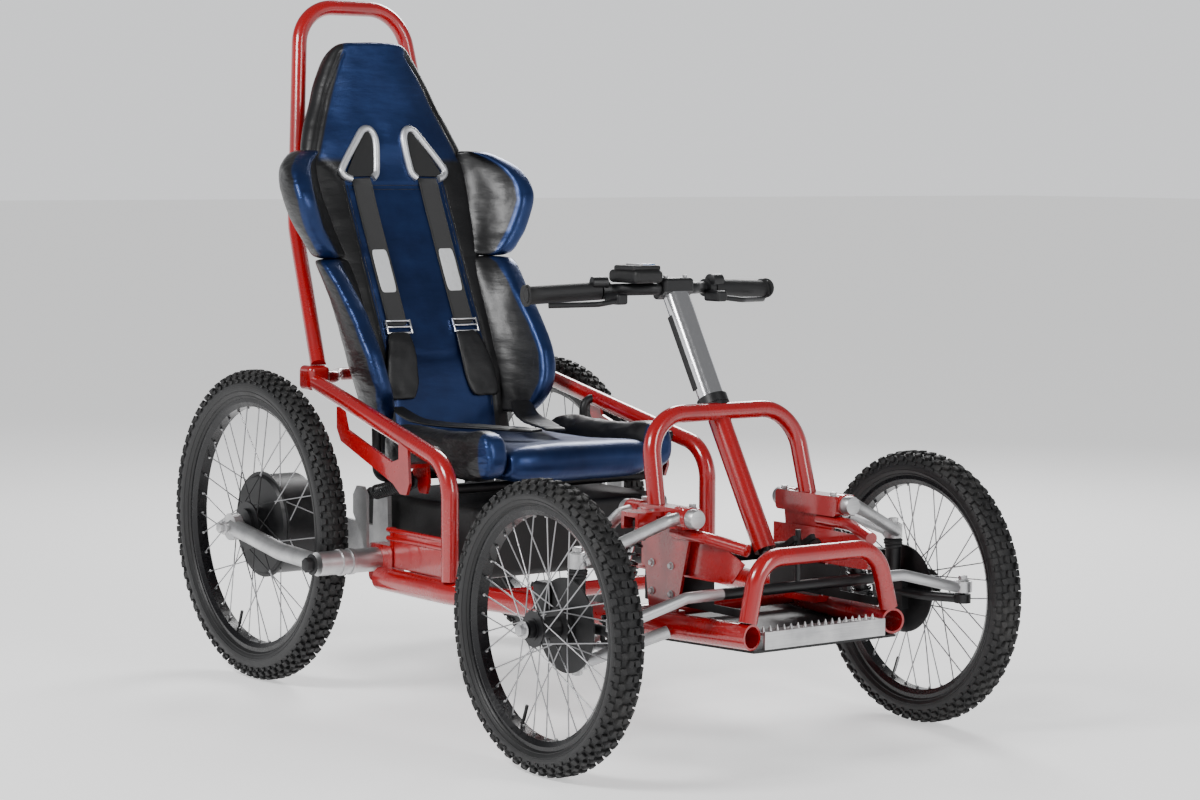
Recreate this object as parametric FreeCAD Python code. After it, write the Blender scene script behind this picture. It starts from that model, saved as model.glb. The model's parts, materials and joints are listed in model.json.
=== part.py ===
"""Four-wheel all-terrain electric wheelchair: tube frame, bucket seat, handlebar steering.

Frame: origin on the ground under the middle of the chair, +Z up, the front faces -Y and
+X is the rider's left. Lengths are in millimetres. The right-hand half is built on the
-X side and mirrored.
"""
import FreeCAD, Part
import math
import os

V = FreeCAD.Vector
MIDDLE_PLANE = (V(0, 0, 0), V(1, 0, 0))

# ---------------------------------------------------------------- driving dimensions
SEAT_GAP = 0.3             # gap between a piece and what carries it, within one body
RUNNING_GAP = 0.05         # radial clearance of a turning shaft in its bearing

# wheels
REAR_WHEEL_R = 311.5
FRONT_WHEEL_R = 254.0
REAR_AXLE_Y = 517.0
FRONT_AXLE_Y = -575.0
REAR_TRACK = 720.0
FRONT_TRACK = 852.0
TYRE_WIDTH = 57.0
RIM_WIDTH = 34.0
RIM_DEPTH = 20.0           # flange edge to the inner face of the rim, radially
REAR_RIM_R = 257.5         # flange edge
FRONT_RIM_R = 212.0
SPOKES = 36
SPOKE_R = 1.2

# rear hub motor and axle
MOTOR_R = 100.0
MOTOR_WIDTH = 88.0
REAR_HUB_R = 34.0
REAR_AXLE_R = 10.0

# front hub and brake disc
HUB_R = 18.0
HUB_FLANGE_R = 31.0
HUB_WIDTH = 58.0
FRONT_AXLE_R = 8.5
DISC_R = 82.0
DISC_THICK = 3.0
DISC_IN = 42.0             # wheel's middle plane to the middle of the disc, inboard

# steering
KINGPIN_X = 360.0
UPPER_BALL_Z = 350.0
LOWER_BALL_Z = 205.0
ARM_END_X = 392.0          # ball joint of the steering arm
ARM_END_Y = -729.0
ARM_END_Z = 275.0
POST_FOOT = V(0, -640, 361)
POST_TOP = V(0, -490, 612)
POST_R = 20.0
SHAFT_R = 12.0
STEM_LIFT = 9.0            # post top to the stem's lower face
STEM_LENGTH = 209.0
STEM_WIDTH = 50.0
STEM_DEPTH = 32.0
PITMAN_PIN_Z = 385.0
PITMAN_SLOT = 31.0
PITMAN_WIDTH = 49.0
TIE_R = 10.0
STUD_R = 4.5
TIE_FREE_PLAY = 7.5        # radial play of the open left-hand eye
TIE_ELBOW_X = 244.0
TIE_ELBOW_Z = 308.0
BAR_R = 11.1
BAR_END_X = 272.0
GRIP_R = 16.5
GRIP_LENGTH = 145.0

# frame tubes
BRACKET_TOP = 446.0        # top of the front suspension brackets
MAIN_R = 22.5
CROSSBAR_R = 14.0
MAIN_Z = 242.0
MAIN_REAR_X = 300.0
MAIN_NOSE_X = 159.0
MAIN_REAR_Y = 150.0
MAIN_BEND_Y = -80.0
NOSE_Y = -800.0
NOSE_SOCKET_R = 18.5
NOSE_SOCKET_DEPTH = 60.0
RAIL_R = 16.5
RAIL_REAR = V(-270, 458, 602)
RAIL_BEND = V(-303, -93, 478)
HOOP_R = 16.0
ROLL_BAR_FOOT = V(-258, 455, 632)
ROLL_BAR_KINK = V(-180, 677, 906)
ROLL_BAR_CORNER = V(-122, 752, 1360)

# rear suspension
PIVOT_Y = 174.0
PIVOT_Z = 276.0
PIVOT_R = 23.0
OUTER_ARM_X = 418.0
OUTER_ARM_R = 17.0
INNER_ARM_X = 257.0
INNER_ARM_THICK = 9.0
LUG_X = 282.0
LUG_THICK = 28.0
SHOCK_X = 284.0
SHOCK_FRONT = V(-284, 62, 434)
SHOCK_REAR = V(-284, 215, 398)

# front suspension
SHOCK_FOOT_X = 298.0

# nose
PANEL_X = 150.0
PANEL_THICK = 3.0
PAN_THICK = 4.0

# seat
BACK_THICK = 62.0
BACK_HALF = 165.0
CUSHION_HALF = 170.0
CUSHION_FRONT_Y = -116.0
CUSHION_TOP_Z = 508.0
CUSHION_BOTTOM_Z = 432.0


# ---------------------------------------------------------------- shape helpers
def mirrored(shape):
    """The same shape on the rider's left."""
    return shape.mirror(*MIDDLE_PLANE)


def pair(shape):
    """A right-hand piece with its mirror image, in one node."""
    return Part.makeCompound([shape, mirrored(shape)])


def fused(first, *others):
    return first.multiFuse(list(others)).removeSplitter()


def rod(start, end, radius):
    """Round bar between two points."""
    along = end - start
    return Part.makeCylinder(radius, along.Length, start, along)


def box(x0, x1, y0, y1, z0, z1):
    """Block between two corners."""
    return Part.makeBox(x1 - x0, y1 - y0, z1 - z0, V(x0, y0, z0))


def rounded(shape, radius, direction=None):
    """Round the edges, or only those that run along one direction."""
    edges = shape.Edges
    if direction is not None:
        edges = [e for e in edges if abs(e.tangentAt(e.FirstParameter).dot(direction)) > 0.99]
    return shape.makeFillet(radius, edges)


def bent_wire(points, bend_radius):
    """Straight runs through the points, joined by tangent arcs."""
    edges = []
    start = points[0]
    for before, corner, after in zip(points, points[1:], points[2:]):
        to_before = (before - corner).normalize()
        to_after = (after - corner).normalize()
        half_turn = (math.pi - to_before.getAngle(to_after)) / 2
        reach = bend_radius * math.tan(half_turn)
        arc_start = corner + to_before * reach
        arc_end = corner + to_after * reach
        inwards = (to_before + to_after).normalize()
        to_centre = bend_radius / math.cos(half_turn)
        arc_middle = corner + inwards * (to_centre - bend_radius)
        edges.append(Part.LineSegment(start, arc_start).toShape())
        edges.append(Part.Arc(arc_start, arc_middle, arc_end).toShape())
        start = arc_end
    edges.append(Part.LineSegment(start, points[-1]).toShape())
    return Part.Wire(edges)


def tube(points, radius, bend_radius=60.0):
    """Round tube through the points, its ends square to its runs."""
    if len(points) == 2:
        return rod(points[0], points[1], radius)
    path = bent_wire(points, bend_radius)
    circle = Part.Wire([Part.makeCircle(radius, points[0], points[1] - points[0])])
    return path.makePipeShell([circle], True, True)


def mirrored_path(points):
    """A path from the right-hand foot over the middle to the left-hand foot."""
    return points + [V(-p.x, p.y, p.z) for p in reversed(points)]


def side_plate(outline, x_low, x_high):
    """Plate in the Y-Z plane, between two X values."""
    corners = [V(x_low, y, z) for y, z in outline]
    face = Part.Face(Part.makePolygon(corners + corners[:1]))
    return face.extrude(V(x_high - x_low, 0, 0))


def front_plate(outline, y_low, y_high):
    """Prism with an outline in the X-Z plane."""
    corners = [V(x, y_low, z) for x, z in outline]
    face = Part.Face(Part.makePolygon(corners + corners[:1]))
    return face.extrude(V(0, y_high - y_low, 0))


def smooth_side_plate(outline, x_low, x_high):
    """Like side_plate, with a smooth closed curve through the points."""
    curve = Part.BSplineCurve()
    curve.interpolate([V(x_low, y, z) for y, z in outline], PeriodicFlag=True)
    face = Part.Face(Part.Wire([curve.toShape()]))
    return face.extrude(V(x_high - x_low, 0, 0))


# ---------------------------------------------------------------- wheels
def wheel_place(shape, x, axle_y, radius):
    """Move a wheel piece, built round the X axis, to its axle."""
    moved = shape.copy()
    moved.translate(V(x, axle_y, radius))
    return moved


def revolved(outline):
    """Turn an outline of (x, r) points round the X axis."""
    corners = [V(x, r, 0) for x, r in outline]
    face = Part.Face(Part.makePolygon(corners + corners[:1]))
    return face.revolve(V(0, 0, 0), V(1, 0, 0), 360)


def make_tyre(wheel_r, rim_r):
    """Balloon tyre: beads between the rim flanges, round walls, a flatter tread."""
    half = TYRE_WIDTH / 2
    bead_half = RIM_WIDTH / 2 - 3.2
    bead_r = rim_r - 9.0 + SEAT_GAP
    wall_r = rim_r + 0.45 * (wheel_r - rim_r)
    shoulder_x = 0.72 * half
    shoulder_r = wheel_r - 7.0
    neck = (bead_half, rim_r + 1.0)
    edges = []
    for side in (1, -1):
        bead = V(side * bead_half, bead_r, 0)
        throat = V(side * neck[0], neck[1], 0)
        widest = V(side * half, wall_r, 0)
        shoulder = V(side * shoulder_x, shoulder_r, 0)
        edges.append(Part.LineSegment(bead, throat).toShape())
        edges.append(Part.Arc(throat, widest, shoulder).toShape())
    right = V(shoulder_x, shoulder_r, 0)
    left = V(-shoulder_x, shoulder_r, 0)
    edges.append(Part.Arc(right, V(0, wheel_r, 0), left).toShape())
    edges.append(Part.LineSegment(V(bead_half, bead_r, 0), V(-bead_half, bead_r, 0)).toShape())
    face = Part.Face(Part.Wire(Part.__sortEdges__(edges)))
    return face.revolve(V(0, 0, 0), V(1, 0, 0), 360)


def make_rim(rim_r):
    """Deep rim: a channel for the tyre and a hollow-looking inner well."""
    half = RIM_WIDTH / 2
    inner = rim_r - RIM_DEPTH
    return revolved([
        (-half + 6, inner), (half - 6, inner), (half, inner + 9), (half, rim_r),
        (half - 2.6, rim_r), (half - 2.6, rim_r - 9), (-half + 2.6, rim_r - 9),
        (-half + 2.6, rim_r), (-half, rim_r), (-half, inner + 9)])


def spokes(flange_r, flange_x, rim_r, lean_deg):
    """Crossed spokes from two flanges to the middle of the rim."""
    bars = []
    rim_inner = rim_r - RIM_DEPTH - SEAT_GAP
    for number in range(SPOKES):
        side = 1 if number % 2 else -1
        lean = lean_deg if (number // 2) % 2 else -lean_deg
        at_rim = math.radians(360.0 * number / SPOKES)
        at_hub = at_rim + math.radians(lean)
        start = V(flange_x[side], flange_r * math.cos(at_hub), flange_r * math.sin(at_hub))
        end = V(2.0 * side, rim_inner * math.cos(at_rim), rim_inner * math.sin(at_rim))
        along = (end - start).normalize()
        bars.append(rod(start, end - along * 0.4 * SPOKE_R, SPOKE_R))
    return bars


def make_front_hub():
    """Hub shell with two spoke flanges and the brake disc on its inboard side."""
    half = HUB_WIDTH / 2
    flange_x = {1: half - 4, -1: -half + 4}
    shell = Part.makeCylinder(HUB_R, HUB_WIDTH, V(-half, 0, 0), V(1, 0, 0))
    pieces = []
    for x in flange_x.values():
        pieces.append(Part.makeCylinder(HUB_FLANGE_R, 4, V(x - 2, 0, 0), V(1, 0, 0)))
    carrier_length = DISC_IN + DISC_THICK / 2 - half
    pieces.append(Part.makeCylinder(HUB_FLANGE_R, carrier_length, V(half, 0, 0), V(1, 0, 0)))
    disc_x = DISC_IN - DISC_THICK / 2
    pieces.append(Part.makeCylinder(DISC_R, DISC_THICK, V(disc_x, 0, 0), V(1, 0, 0)))
    pieces += spokes(HUB_FLANGE_R - 4, flange_x, FRONT_RIM_R, 62)
    hub = fused(shell, *pieces)
    length = HUB_WIDTH + 40
    bore = Part.makeCylinder(FRONT_AXLE_R + RUNNING_GAP, length, V(-half - 5, 0, 0), V(1, 0, 0))
    return hub.cut(bore)


def make_rear_hub():
    """Motor drum on the inboard side, a small hub shell and two spoke flanges outboard."""
    drum = Part.makeCylinder(MOTOR_R, MOTOR_WIDTH, V(2, 0, 0), V(1, 0, 0))
    drum = drum.makeChamfer(5, drum.Edges)
    flange_x = {1: 10.0, -1: -26.0}
    outer = Part.makeCylinder(REAR_HUB_R, 40, V(-36, 0, 0), V(1, 0, 0))
    wide = Part.makeCylinder(MOTOR_R + 6, 4, V(8, 0, 0), V(1, 0, 0))
    small = Part.makeCylinder(REAR_HUB_R + 14, 4, V(-28, 0, 0), V(1, 0, 0))
    pieces = [outer, wide, small]
    rim_inner = REAR_RIM_R - RIM_DEPTH - SEAT_GAP
    for number in range(SPOKES):
        side = 1 if number % 2 else -1
        lean = 22 if (number // 2) % 2 else -22
        hub_r = MOTOR_R + 3 if side > 0 else REAR_HUB_R + 11
        lean = lean if side > 0 else 2.2 * lean
        at_rim = math.radians(360.0 * number / SPOKES)
        at_hub = at_rim + math.radians(lean)
        start = V(flange_x[side], hub_r * math.cos(at_hub), hub_r * math.sin(at_hub))
        end = V(2.0 * side, rim_inner * math.cos(at_rim), rim_inner * math.sin(at_rim))
        along = (end - start).normalize()
        pieces.append(rod(start, end - along * 0.4 * SPOKE_R, SPOKE_R))
    hub = fused(drum, *pieces)
    bore = Part.makeCylinder(REAR_AXLE_R + RUNNING_GAP, 200, V(-60, 0, 0), V(1, 0, 0))
    return hub.cut(bore)


def make_wheels():
    """Tyre, rim and spoked hub of the four wheels. Inboard is +X on the right-hand side."""
    sets = {
        "front": (FRONT_WHEEL_R, FRONT_RIM_R, make_front_hub(), FRONT_AXLE_Y, FRONT_TRACK),
        "rear": (REAR_WHEEL_R, REAR_RIM_R, make_rear_hub(), REAR_AXLE_Y, REAR_TRACK)}
    nodes = {}
    for end, (wheel_r, rim_r, hub, axle_y, track) in sets.items():
        pieces = {"tyre": make_tyre(wheel_r, rim_r), "rim": make_rim(rim_r), "spoked_hub": hub}
        for name, shape in pieces.items():
            right = wheel_place(shape, -track / 2, axle_y, wheel_r)
            nodes[f"{name}_{end}_right"] = right
            nodes[f"{name}_{end}_left"] = mirrored(right)
    return nodes


# ---------------------------------------------------------------- frame
def main_tube_path():
    return [V(-MAIN_REAR_X, MAIN_REAR_Y, MAIN_Z), V(-MAIN_REAR_X, MAIN_BEND_Y, MAIN_Z),
            V(-MAIN_NOSE_X, NOSE_Y, MAIN_Z)]


def main_tube_x(y):
    """X of the right-hand main tube's middle, forward of its bend."""
    share = (MAIN_BEND_Y - y) / (MAIN_BEND_Y - NOSE_Y)
    return -(MAIN_REAR_X + share * (MAIN_NOSE_X - MAIN_REAR_X))


def make_main_tubes():
    """Two bottom tubes with their crossbars and the rear lugs for the swingarm pivots."""
    right = tube(main_tube_path(), MAIN_R, 220)
    lug = box(-LUG_X - LUG_THICK / 2, -LUG_X + LUG_THICK / 2, MAIN_REAR_Y - 30, PIVOT_Y + 30,
              MAIN_Z - 10, PIVOT_Z + 30)
    lug = rounded(lug, 12, V(1, 0, 0))
    lug = lug.cut(rod(V(-LUG_X - 50, PIVOT_Y, PIVOT_Z), V(-LUG_X + 50, PIVOT_Y, PIVOT_Z),
                      REAR_AXLE_R + SEAT_GAP))
    right = right.fuse(lug)
    crossbars = []
    for y in (110.0, -180.0, -470.0):
        reach = MAIN_REAR_X if y > MAIN_BEND_Y else -main_tube_x(y)
        crossbars.append(rod(V(-reach, y, MAIN_Z), V(reach, y, MAIN_Z), CROSSBAR_R))
    nose, inwards = V(-MAIN_NOSE_X, NOSE_Y, MAIN_Z), main_tube_path()[1]
    inwards = (inwards - nose).normalize()
    socket = rod(nose - inwards, nose + inwards * NOSE_SOCKET_DEPTH, NOSE_SOCKET_R)
    return fused(right, mirrored(right), *crossbars).cut(socket).cut(mirrored(socket))


def rail_point(y):
    """Point on the right-hand rail's straight run."""
    share = (y - RAIL_BEND.y) / (RAIL_REAR.y - RAIL_BEND.y)
    return RAIL_BEND + (RAIL_REAR - RAIL_BEND) * share


def make_side_rails():
    """Upper rails: straight down-forward from the roll bar's foot, then down to the bottom."""
    foot_z = MAIN_Z + MAIN_R + SEAT_GAP
    foot = V(RAIL_BEND.x, RAIL_BEND.y, foot_z)
    rail = tube([RAIL_REAR, RAIL_BEND, foot], RAIL_R, 75)
    casting = rounded(box(RAIL_REAR.x - 20, RAIL_REAR.x + 30, RAIL_REAR.y - 24,
                          RAIL_REAR.y + 24, RAIL_REAR.z - 20, ROLL_BAR_FOOT.z), 11)
    return pair(rail.fuse(casting).removeSplitter())


def make_rear_crossbar():
    """Bar behind the seat that joins the two rail ends."""
    inner_x = RAIL_REAR.x + 30 + SEAT_GAP
    path = mirrored_path([V(inner_x, RAIL_REAR.y + 4, 606), V(inner_x + 26, RAIL_REAR.y + 8, 606),
                          V(-178, 520, 606)])
    return tube(path, 13, 24)


def make_roll_bar():
    """Hoop behind the head: legs that lean back to a kink, then a nearly upright arch."""
    foot = ROLL_BAR_FOOT + V(0, 0, SEAT_GAP)
    path = bent_wire(mirrored_path([foot, ROLL_BAR_KINK, ROLL_BAR_CORNER]), 88)
    circle = Part.Wire([Part.makeCircle(HOOP_R, foot, ROLL_BAR_KINK - foot)])
    hoop = path.makePipeShell([circle], True, True)
    return hoop.cut(box(-400, 400, 400, 520, 580, foot.z))


def make_rail_plates():
    """Plates that hang under the rails and hold the front eyes of the rear shocks."""
    outline = [(300, 562), (300, 520), (285, 496), (96, 430), (70, 412), (48, 412), (38, 434),
               (44, 508), (75, 515), (75, 478), (100, 470), (262, 520), (275, 554)]
    x_out = -SHOCK_X - 25
    plate = side_plate(outline, x_out, x_out + 6)
    inner = side_plate([(96, 452), (70, 412), (48, 412), (38, 434), (44, 470), (80, 470)],
                       -SHOCK_X + 19, -SHOCK_X + 25)
    bridge = box(x_out, -SHOCK_X + 25, 44, 74, 462, 470)
    return pair(fused(plate, inner, bridge))


def make_front_hoop():
    """Hoop in front of the knees that carries the top of the steering post."""
    path = mirrored_path([V(-173, -552, BRACKET_TOP - 10), V(-164, -514, 597)])
    hoop = tube(path, HOOP_R, 78)
    hoop = hoop.cut(box(-250, 250, -650, -450, 380, BRACKET_TOP + SEAT_GAP))
    return hoop.cut(rod(POST_FOOT, POST_TOP + (POST_TOP - POST_FOOT), POST_R + SEAT_GAP))


def make_bumper_hoop():
    """Hoop round the toes, standing on the ends of the bottom tubes."""
    foot_z = MAIN_Z + MAIN_R + SEAT_GAP
    path = mirrored_path([V(-MAIN_NOSE_X, NOSE_Y + 12, foot_z), V(-132, NOSE_Y + 16, 372)])
    return tube(path, HOOP_R, 60)


def make_nose_tubes():
    """Short curved tubes from the suspension brackets to the bumper hoop."""
    path = [V(-166, -592, 400), V(-164, -680, 398), V(-140, -762, 384)]
    bumper = make_bumper_hoop()
    right = tube(path, 11, 120)
    return pair(right.cut(bumper))


def make_suspension_brackets():
    """Gusset blocks under the front hoop's feet and their webs down to the bottom tubes."""
    block = rounded(box(-190, -152, -652, -484, 410, BRACKET_TOP), 8, V(1, 0, 0))
    arm = box(-246, -186, -594, -546, 430, 438)
    ears = [box(-246, -206, -594, -586, 408, 438), box(-246, -206, -554, -546, 408, 438)]
    web = side_plate([(-640, 412), (-500, 412), (-520, 262), (-600, 262)], -166, -160)
    shelf = box(-204, -148, -602, -518, 250, 262)
    tube_cut = rod(V(main_tube_x(-480), -480, MAIN_Z), V(main_tube_x(-700), -700, MAIN_Z),
                   MAIN_R + SEAT_GAP)
    right = fused(block, arm, *ears, web, shelf).cut(tube_cut)
    return pair(right)


def make_post():
    """Fixed steering post with the bore for the column's shaft."""
    post = rod(POST_FOOT, POST_TOP, POST_R)
    bore = rod(POST_FOOT - axis_step(30), POST_TOP + axis_step(30), SHAFT_R + RUNNING_GAP)
    return post.cut(bore)


def axis_step(distance):
    """Vector of a given length up the steering axis."""
    return (POST_TOP - POST_FOOT).normalize() * distance


def make_nose_crossbar():
    """Dark bar behind the post's foot, between the nose panels."""
    along = (POST_TOP - POST_FOOT).normalize()
    square = V(0, along.z, -along.y)
    middle = POST_FOOT + along * 12 + square * (POST_R + 14 + SEAT_GAP)
    reach = PANEL_X - SEAT_GAP
    return rod(V(-reach, middle.y, middle.z), V(reach, middle.y, middle.z), 14)


# ---------------------------------------------------------------- nose panels
def make_nose_panels():
    """Red folded side panels of the foot well."""
    outline = [(-482, 325), (-482, 386), (-620, 386), (-715, 384), (-770, 362), (-735, 325)]
    panel = side_plate(outline, -PANEL_X - PANEL_THICK, -PANEL_X)
    fold = side_plate([(-482, 325), (-735, 325), (-735, 328), (-482, 328)],
                      -PANEL_X - 14, -PANEL_X)
    return pair(fused(panel, fold))


def make_kick_panels():
    """Black lower panels of the foot well, with the notch for the tie rod."""
    outline = [(-482, 268), (-482, 324), (-676, 324), (-676, 282), (-776, 282), (-776, 268)]
    panel = side_plate(outline, -PANEL_X - PANEL_THICK + 8, -PANEL_X + 8)
    return pair(panel)


def make_floor_pan():
    """Foot tray and skid under the nose, flanged up between the bottom tubes."""
    top = MAIN_Z - MAIN_R - SEAT_GAP
    outline = [(-MAIN_NOSE_X, -806), (MAIN_NOSE_X, -806), (232, -420), (-232, -420)]
    corners = [V(x, y, top - PAN_THICK) for x, y in outline]
    face = Part.Face(Part.makePolygon(corners + corners[:1]))
    return face.extrude(V(0, 0, PAN_THICK))


def make_front_lip():
    """Grey lip across the toe end with a row of grip teeth."""
    top = MAIN_Z - MAIN_R
    half = MAIN_NOSE_X - MAIN_R - 1
    lip = box(-half, half, -806, -801, top, top + 30)
    shelf = box(-half, half, -801, -770, top + 24, top + 28)
    teeth = []
    for number in range(17):
        x = -half + 12 + number * (2 * half - 24) / 16
        tooth = Part.makeCone(4, 0.8, 9, V(x, -786, top + 28))
        teeth.append(tooth)
    return fused(lip, shelf, *teeth)


def make_side_panels():
    """Recessed red panels and the two thin rails above the bottom tubes."""
    x = -MAIN_REAR_X + 8
    panel = box(x, x + 3, -70, 118, MAIN_Z + MAIN_R + SEAT_GAP, 318)
    rails = [rod(V(x + 2, -76 + RAIL_R, z), V(x + 2, 142, z), 5) for z in (320, 336)]
    post = box(x, x + 6, 120, 132, 290, 342)
    return pair(fused(panel, *rails, box(x, x + 4, -60, 118, 312, 336), post))


def make_battery_box():
    """Battery and controller case under the seat."""
    low = MAIN_Z + CROSSBAR_R + SEAT_GAP
    return rounded(box(-232, 232, -64, 330, low, 392), 14)


def make_seat_frame():
    """Two dropped crossbars between the rails, under the cushion."""
    bars = []
    bar_z = CUSHION_BOTTOM_Z - 9 - SEAT_GAP
    for y in (0.0, 250.0):
        on_rail = rail_point(y)
        path = mirrored_path([on_rail, on_rail + V(RAIL_R + 16, 0, 0), V(-248, y, bar_z)])
        bars.append(tube(path, 9, 22))
    return Part.makeCompound(bars)


# ---------------------------------------------------------------- rear suspension
def make_swingarms():
    """Trailing arms: a tube outside each wheel, a plate inside, one pivot sleeve."""
    sleeve_in = -LUG_X - LUG_THICK / 2 - SEAT_GAP
    sleeve_out = -OUTER_ARM_X - 12
    sleeve = rod(V(sleeve_in, PIVOT_Y, PIVOT_Z), V(sleeve_out, PIVOT_Y, PIVOT_Z), PIVOT_R)
    rings = [rod(V(x, PIVOT_Y, PIVOT_Z), V(x - 9, PIVOT_Y, PIVOT_Z), PIVOT_R + 2.5)
             for x in (-352, -374)]
    ring_cut = rod(V(-REAR_TRACK / 2 - TYRE_WIDTH, REAR_AXLE_Y, REAR_WHEEL_R),
                   V(-REAR_TRACK / 2 + TYRE_WIDTH, REAR_AXLE_Y, REAR_WHEEL_R),
                   REAR_WHEEL_R + 6)
    rings = [ring.cut(ring_cut) for ring in rings]
    sleeve = sleeve.cut(ring_cut)
    arm = tube([V(-OUTER_ARM_X, PIVOT_Y, PIVOT_Z), V(-OUTER_ARM_X, 330, 282),
                V(-OUTER_ARM_X, REAR_AXLE_Y, REAR_WHEEL_R)], OUTER_ARM_R, 150)
    dropout = rod(V(-OUTER_ARM_X - 9, REAR_AXLE_Y, REAR_WHEEL_R),
                  V(-OUTER_ARM_X + 9, REAR_AXLE_Y, REAR_WHEEL_R), 27)
    half = INNER_ARM_THICK / 2
    plate = side_plate([(150, 250), (150, 304), (188, 326), (190, 398), (203, 414), (227, 414),
                        (240, 396), (244, 332), (490, 340), (545, 325), (545, 298), (490, 284),
                        (240, 256)], -INNER_ARM_X - half, -INNER_ARM_X + half)
    ear = side_plate([(190, 280), (190, 398), (203, 414), (227, 414), (240, 396), (240, 360),
                      (205, 312), (196, 280)], -SHOCK_X - 25, -SHOCK_X - 19)
    pivot = rod(V(sleeve_in, PIVOT_Y, PIVOT_Z), V(-INNER_ARM_X, PIVOT_Y, PIVOT_Z), REAR_AXLE_R)
    axle = rod(V(-OUTER_ARM_X - 22, REAR_AXLE_Y, REAR_WHEEL_R),
               V(-INNER_ARM_X + 14, REAR_AXLE_Y, REAR_WHEEL_R), REAR_AXLE_R)
    right = fused(sleeve, *rings, arm, dropout, plate, ear, pivot, axle)
    return pair(right)


def shock(lower, upper, across, eye_half, spring_r):
    """Coil-over unit: two eyes, a damper body and a spring with its seats."""
    along = (upper - lower).normalize()
    across = across * eye_half
    eyes = [rod(point - across, point + across, 10) for point in (lower, upper)]
    body = rod(lower, upper, 8)
    spring = rod(lower + along * 26, upper - along * 26, spring_r)
    seats = [rod(lower + along * 22, lower + along * 28, spring_r + 2),
             rod(upper - along * 28, upper - along * 22, spring_r + 2)]
    return fused(body, spring, *seats, *eyes)


def make_rear_shocks():
    return pair(shock(SHOCK_FRONT, SHOCK_REAR, V(1, 0, 0), 19 - SEAT_GAP, 15))


# ---------------------------------------------------------------- front suspension
def make_wishbones():
    """Upper and lower wishbones, each two tubes that meet at a ball joint."""
    ball_up = V(-KINGPIN_X, FRONT_AXLE_Y, UPPER_BALL_Z)
    ball_low = V(-KINGPIN_X, FRONT_AXLE_Y, LOWER_BALL_Z)
    upper = []
    for y, outer_y in ((-636.0, -588.0), (-500.0, -562.0)):
        start = V(-190 - SEAT_GAP, y, 430)
        elbow = V(-214, y, 426)
        upper.append(tube([start, elbow, V(-KINGPIN_X + 4, outer_y, UPPER_BALL_Z + 14)], 11, 14))
    upper.append(rod(ball_up + V(0, 0, SEAT_GAP), ball_up + V(0, 0, 26), 17))
    lower = []
    for y, outer_y in ((-640.0, -586.0), (-512.0, -564.0)):
        start_x = main_tube_x(y) - MAIN_R - 2
        lower.append(rod(V(start_x, y, MAIN_Z - 6), V(-KINGPIN_X + 4, outer_y, LOWER_BALL_Z - 17),
                         11))
    lower.append(rod(ball_low - V(0, 0, SEAT_GAP), ball_low - V(0, 0, 28), 17))
    lower.append(rod(V(-SHOCK_FOOT_X, -612, 207), V(-SHOCK_FOOT_X, -538, 207), 8))
    return pair(fused(*upper)), pair(fused(*lower))


def make_front_shocks():
    """Front coil-over units between the wishbones."""
    top = V(-226, -570, 418)
    bottom = V(-SHOCK_FOOT_X, -574, 225 + SEAT_GAP)
    return pair(shock(bottom, top, V(0, 1, 0), 16 - SEAT_GAP, 19))


# ---------------------------------------------------------------- steering
def make_knuckle():
    """Upright between the ball joints, with stub axle, steering arm and brake caliper."""
    kingpin = V(-KINGPIN_X, FRONT_AXLE_Y, 0)
    upright = rod(kingpin + V(0, 0, LOWER_BALL_Z), kingpin + V(0, 0, UPPER_BALL_Z), 14)
    web = box(-KINGPIN_X - 8, -KINGPIN_X + 8, FRONT_AXLE_Y - 34, FRONT_AXLE_Y + 34,
              FRONT_WHEEL_R - 34, FRONT_WHEEL_R + 34)
    hub_x = -FRONT_TRACK / 2
    axle = rod(V(-KINGPIN_X, FRONT_AXLE_Y, FRONT_WHEEL_R),
               V(hub_x - HUB_WIDTH / 2 - 16, FRONT_AXLE_Y, FRONT_WHEEL_R), FRONT_AXLE_R)
    nut = rod(V(hub_x - HUB_WIDTH / 2 - 2, FRONT_AXLE_Y, FRONT_WHEEL_R),
              V(hub_x - HUB_WIDTH / 2 - 12, FRONT_AXLE_Y, FRONT_WHEEL_R), 15)
    arm_end = V(-ARM_END_X, ARM_END_Y, ARM_END_Z - 22)
    arm_start = V(-KINGPIN_X, FRONT_AXLE_Y - 20, ARM_END_Z - 22)
    arm_mid = V(-KINGPIN_X, ARM_END_Y + 70, ARM_END_Z - 22)
    arm = tube([arm_start, arm_mid, arm_end], 9, 30)
    eye = rod(arm_end - V(0, 0, 8), arm_end + V(0, 0, 8), 15)
    stud = rod(arm_end, V(-ARM_END_X, ARM_END_Y, ARM_END_Z + 14), STUD_R)
    return fused(upright, web, axle, nut, arm, eye, stud)


def make_caliper_block():
    """Brake caliper astride the disc, behind the axle."""
    disc_x = -FRONT_TRACK / 2 + DISC_IN
    angle = math.radians(35)
    y = FRONT_AXLE_Y + 74 * math.cos(angle)
    z = FRONT_WHEEL_R + 74 * math.sin(angle)
    block = rounded(box(disc_x - 13, disc_x + 17, y - 22, y + 22, z - 26, z + 26), 6)
    slot = rod(V(disc_x - 4, FRONT_AXLE_Y, FRONT_WHEEL_R), V(disc_x + 4, FRONT_AXLE_Y,
               FRONT_WHEEL_R), DISC_R + 5)
    block = block.cut(slot)
    bracket = box(disc_x + 8, -KINGPIN_X + 8, FRONT_AXLE_Y + 20, y, FRONT_WHEEL_R + 12,
                  FRONT_WHEEL_R + 34)
    return block, bracket


def make_knuckles():
    block, bracket = make_caliper_block()
    right = fused(make_knuckle(), block, bracket)
    return {"knuckle_right": right, "knuckle_left": mirrored(right)}


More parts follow.
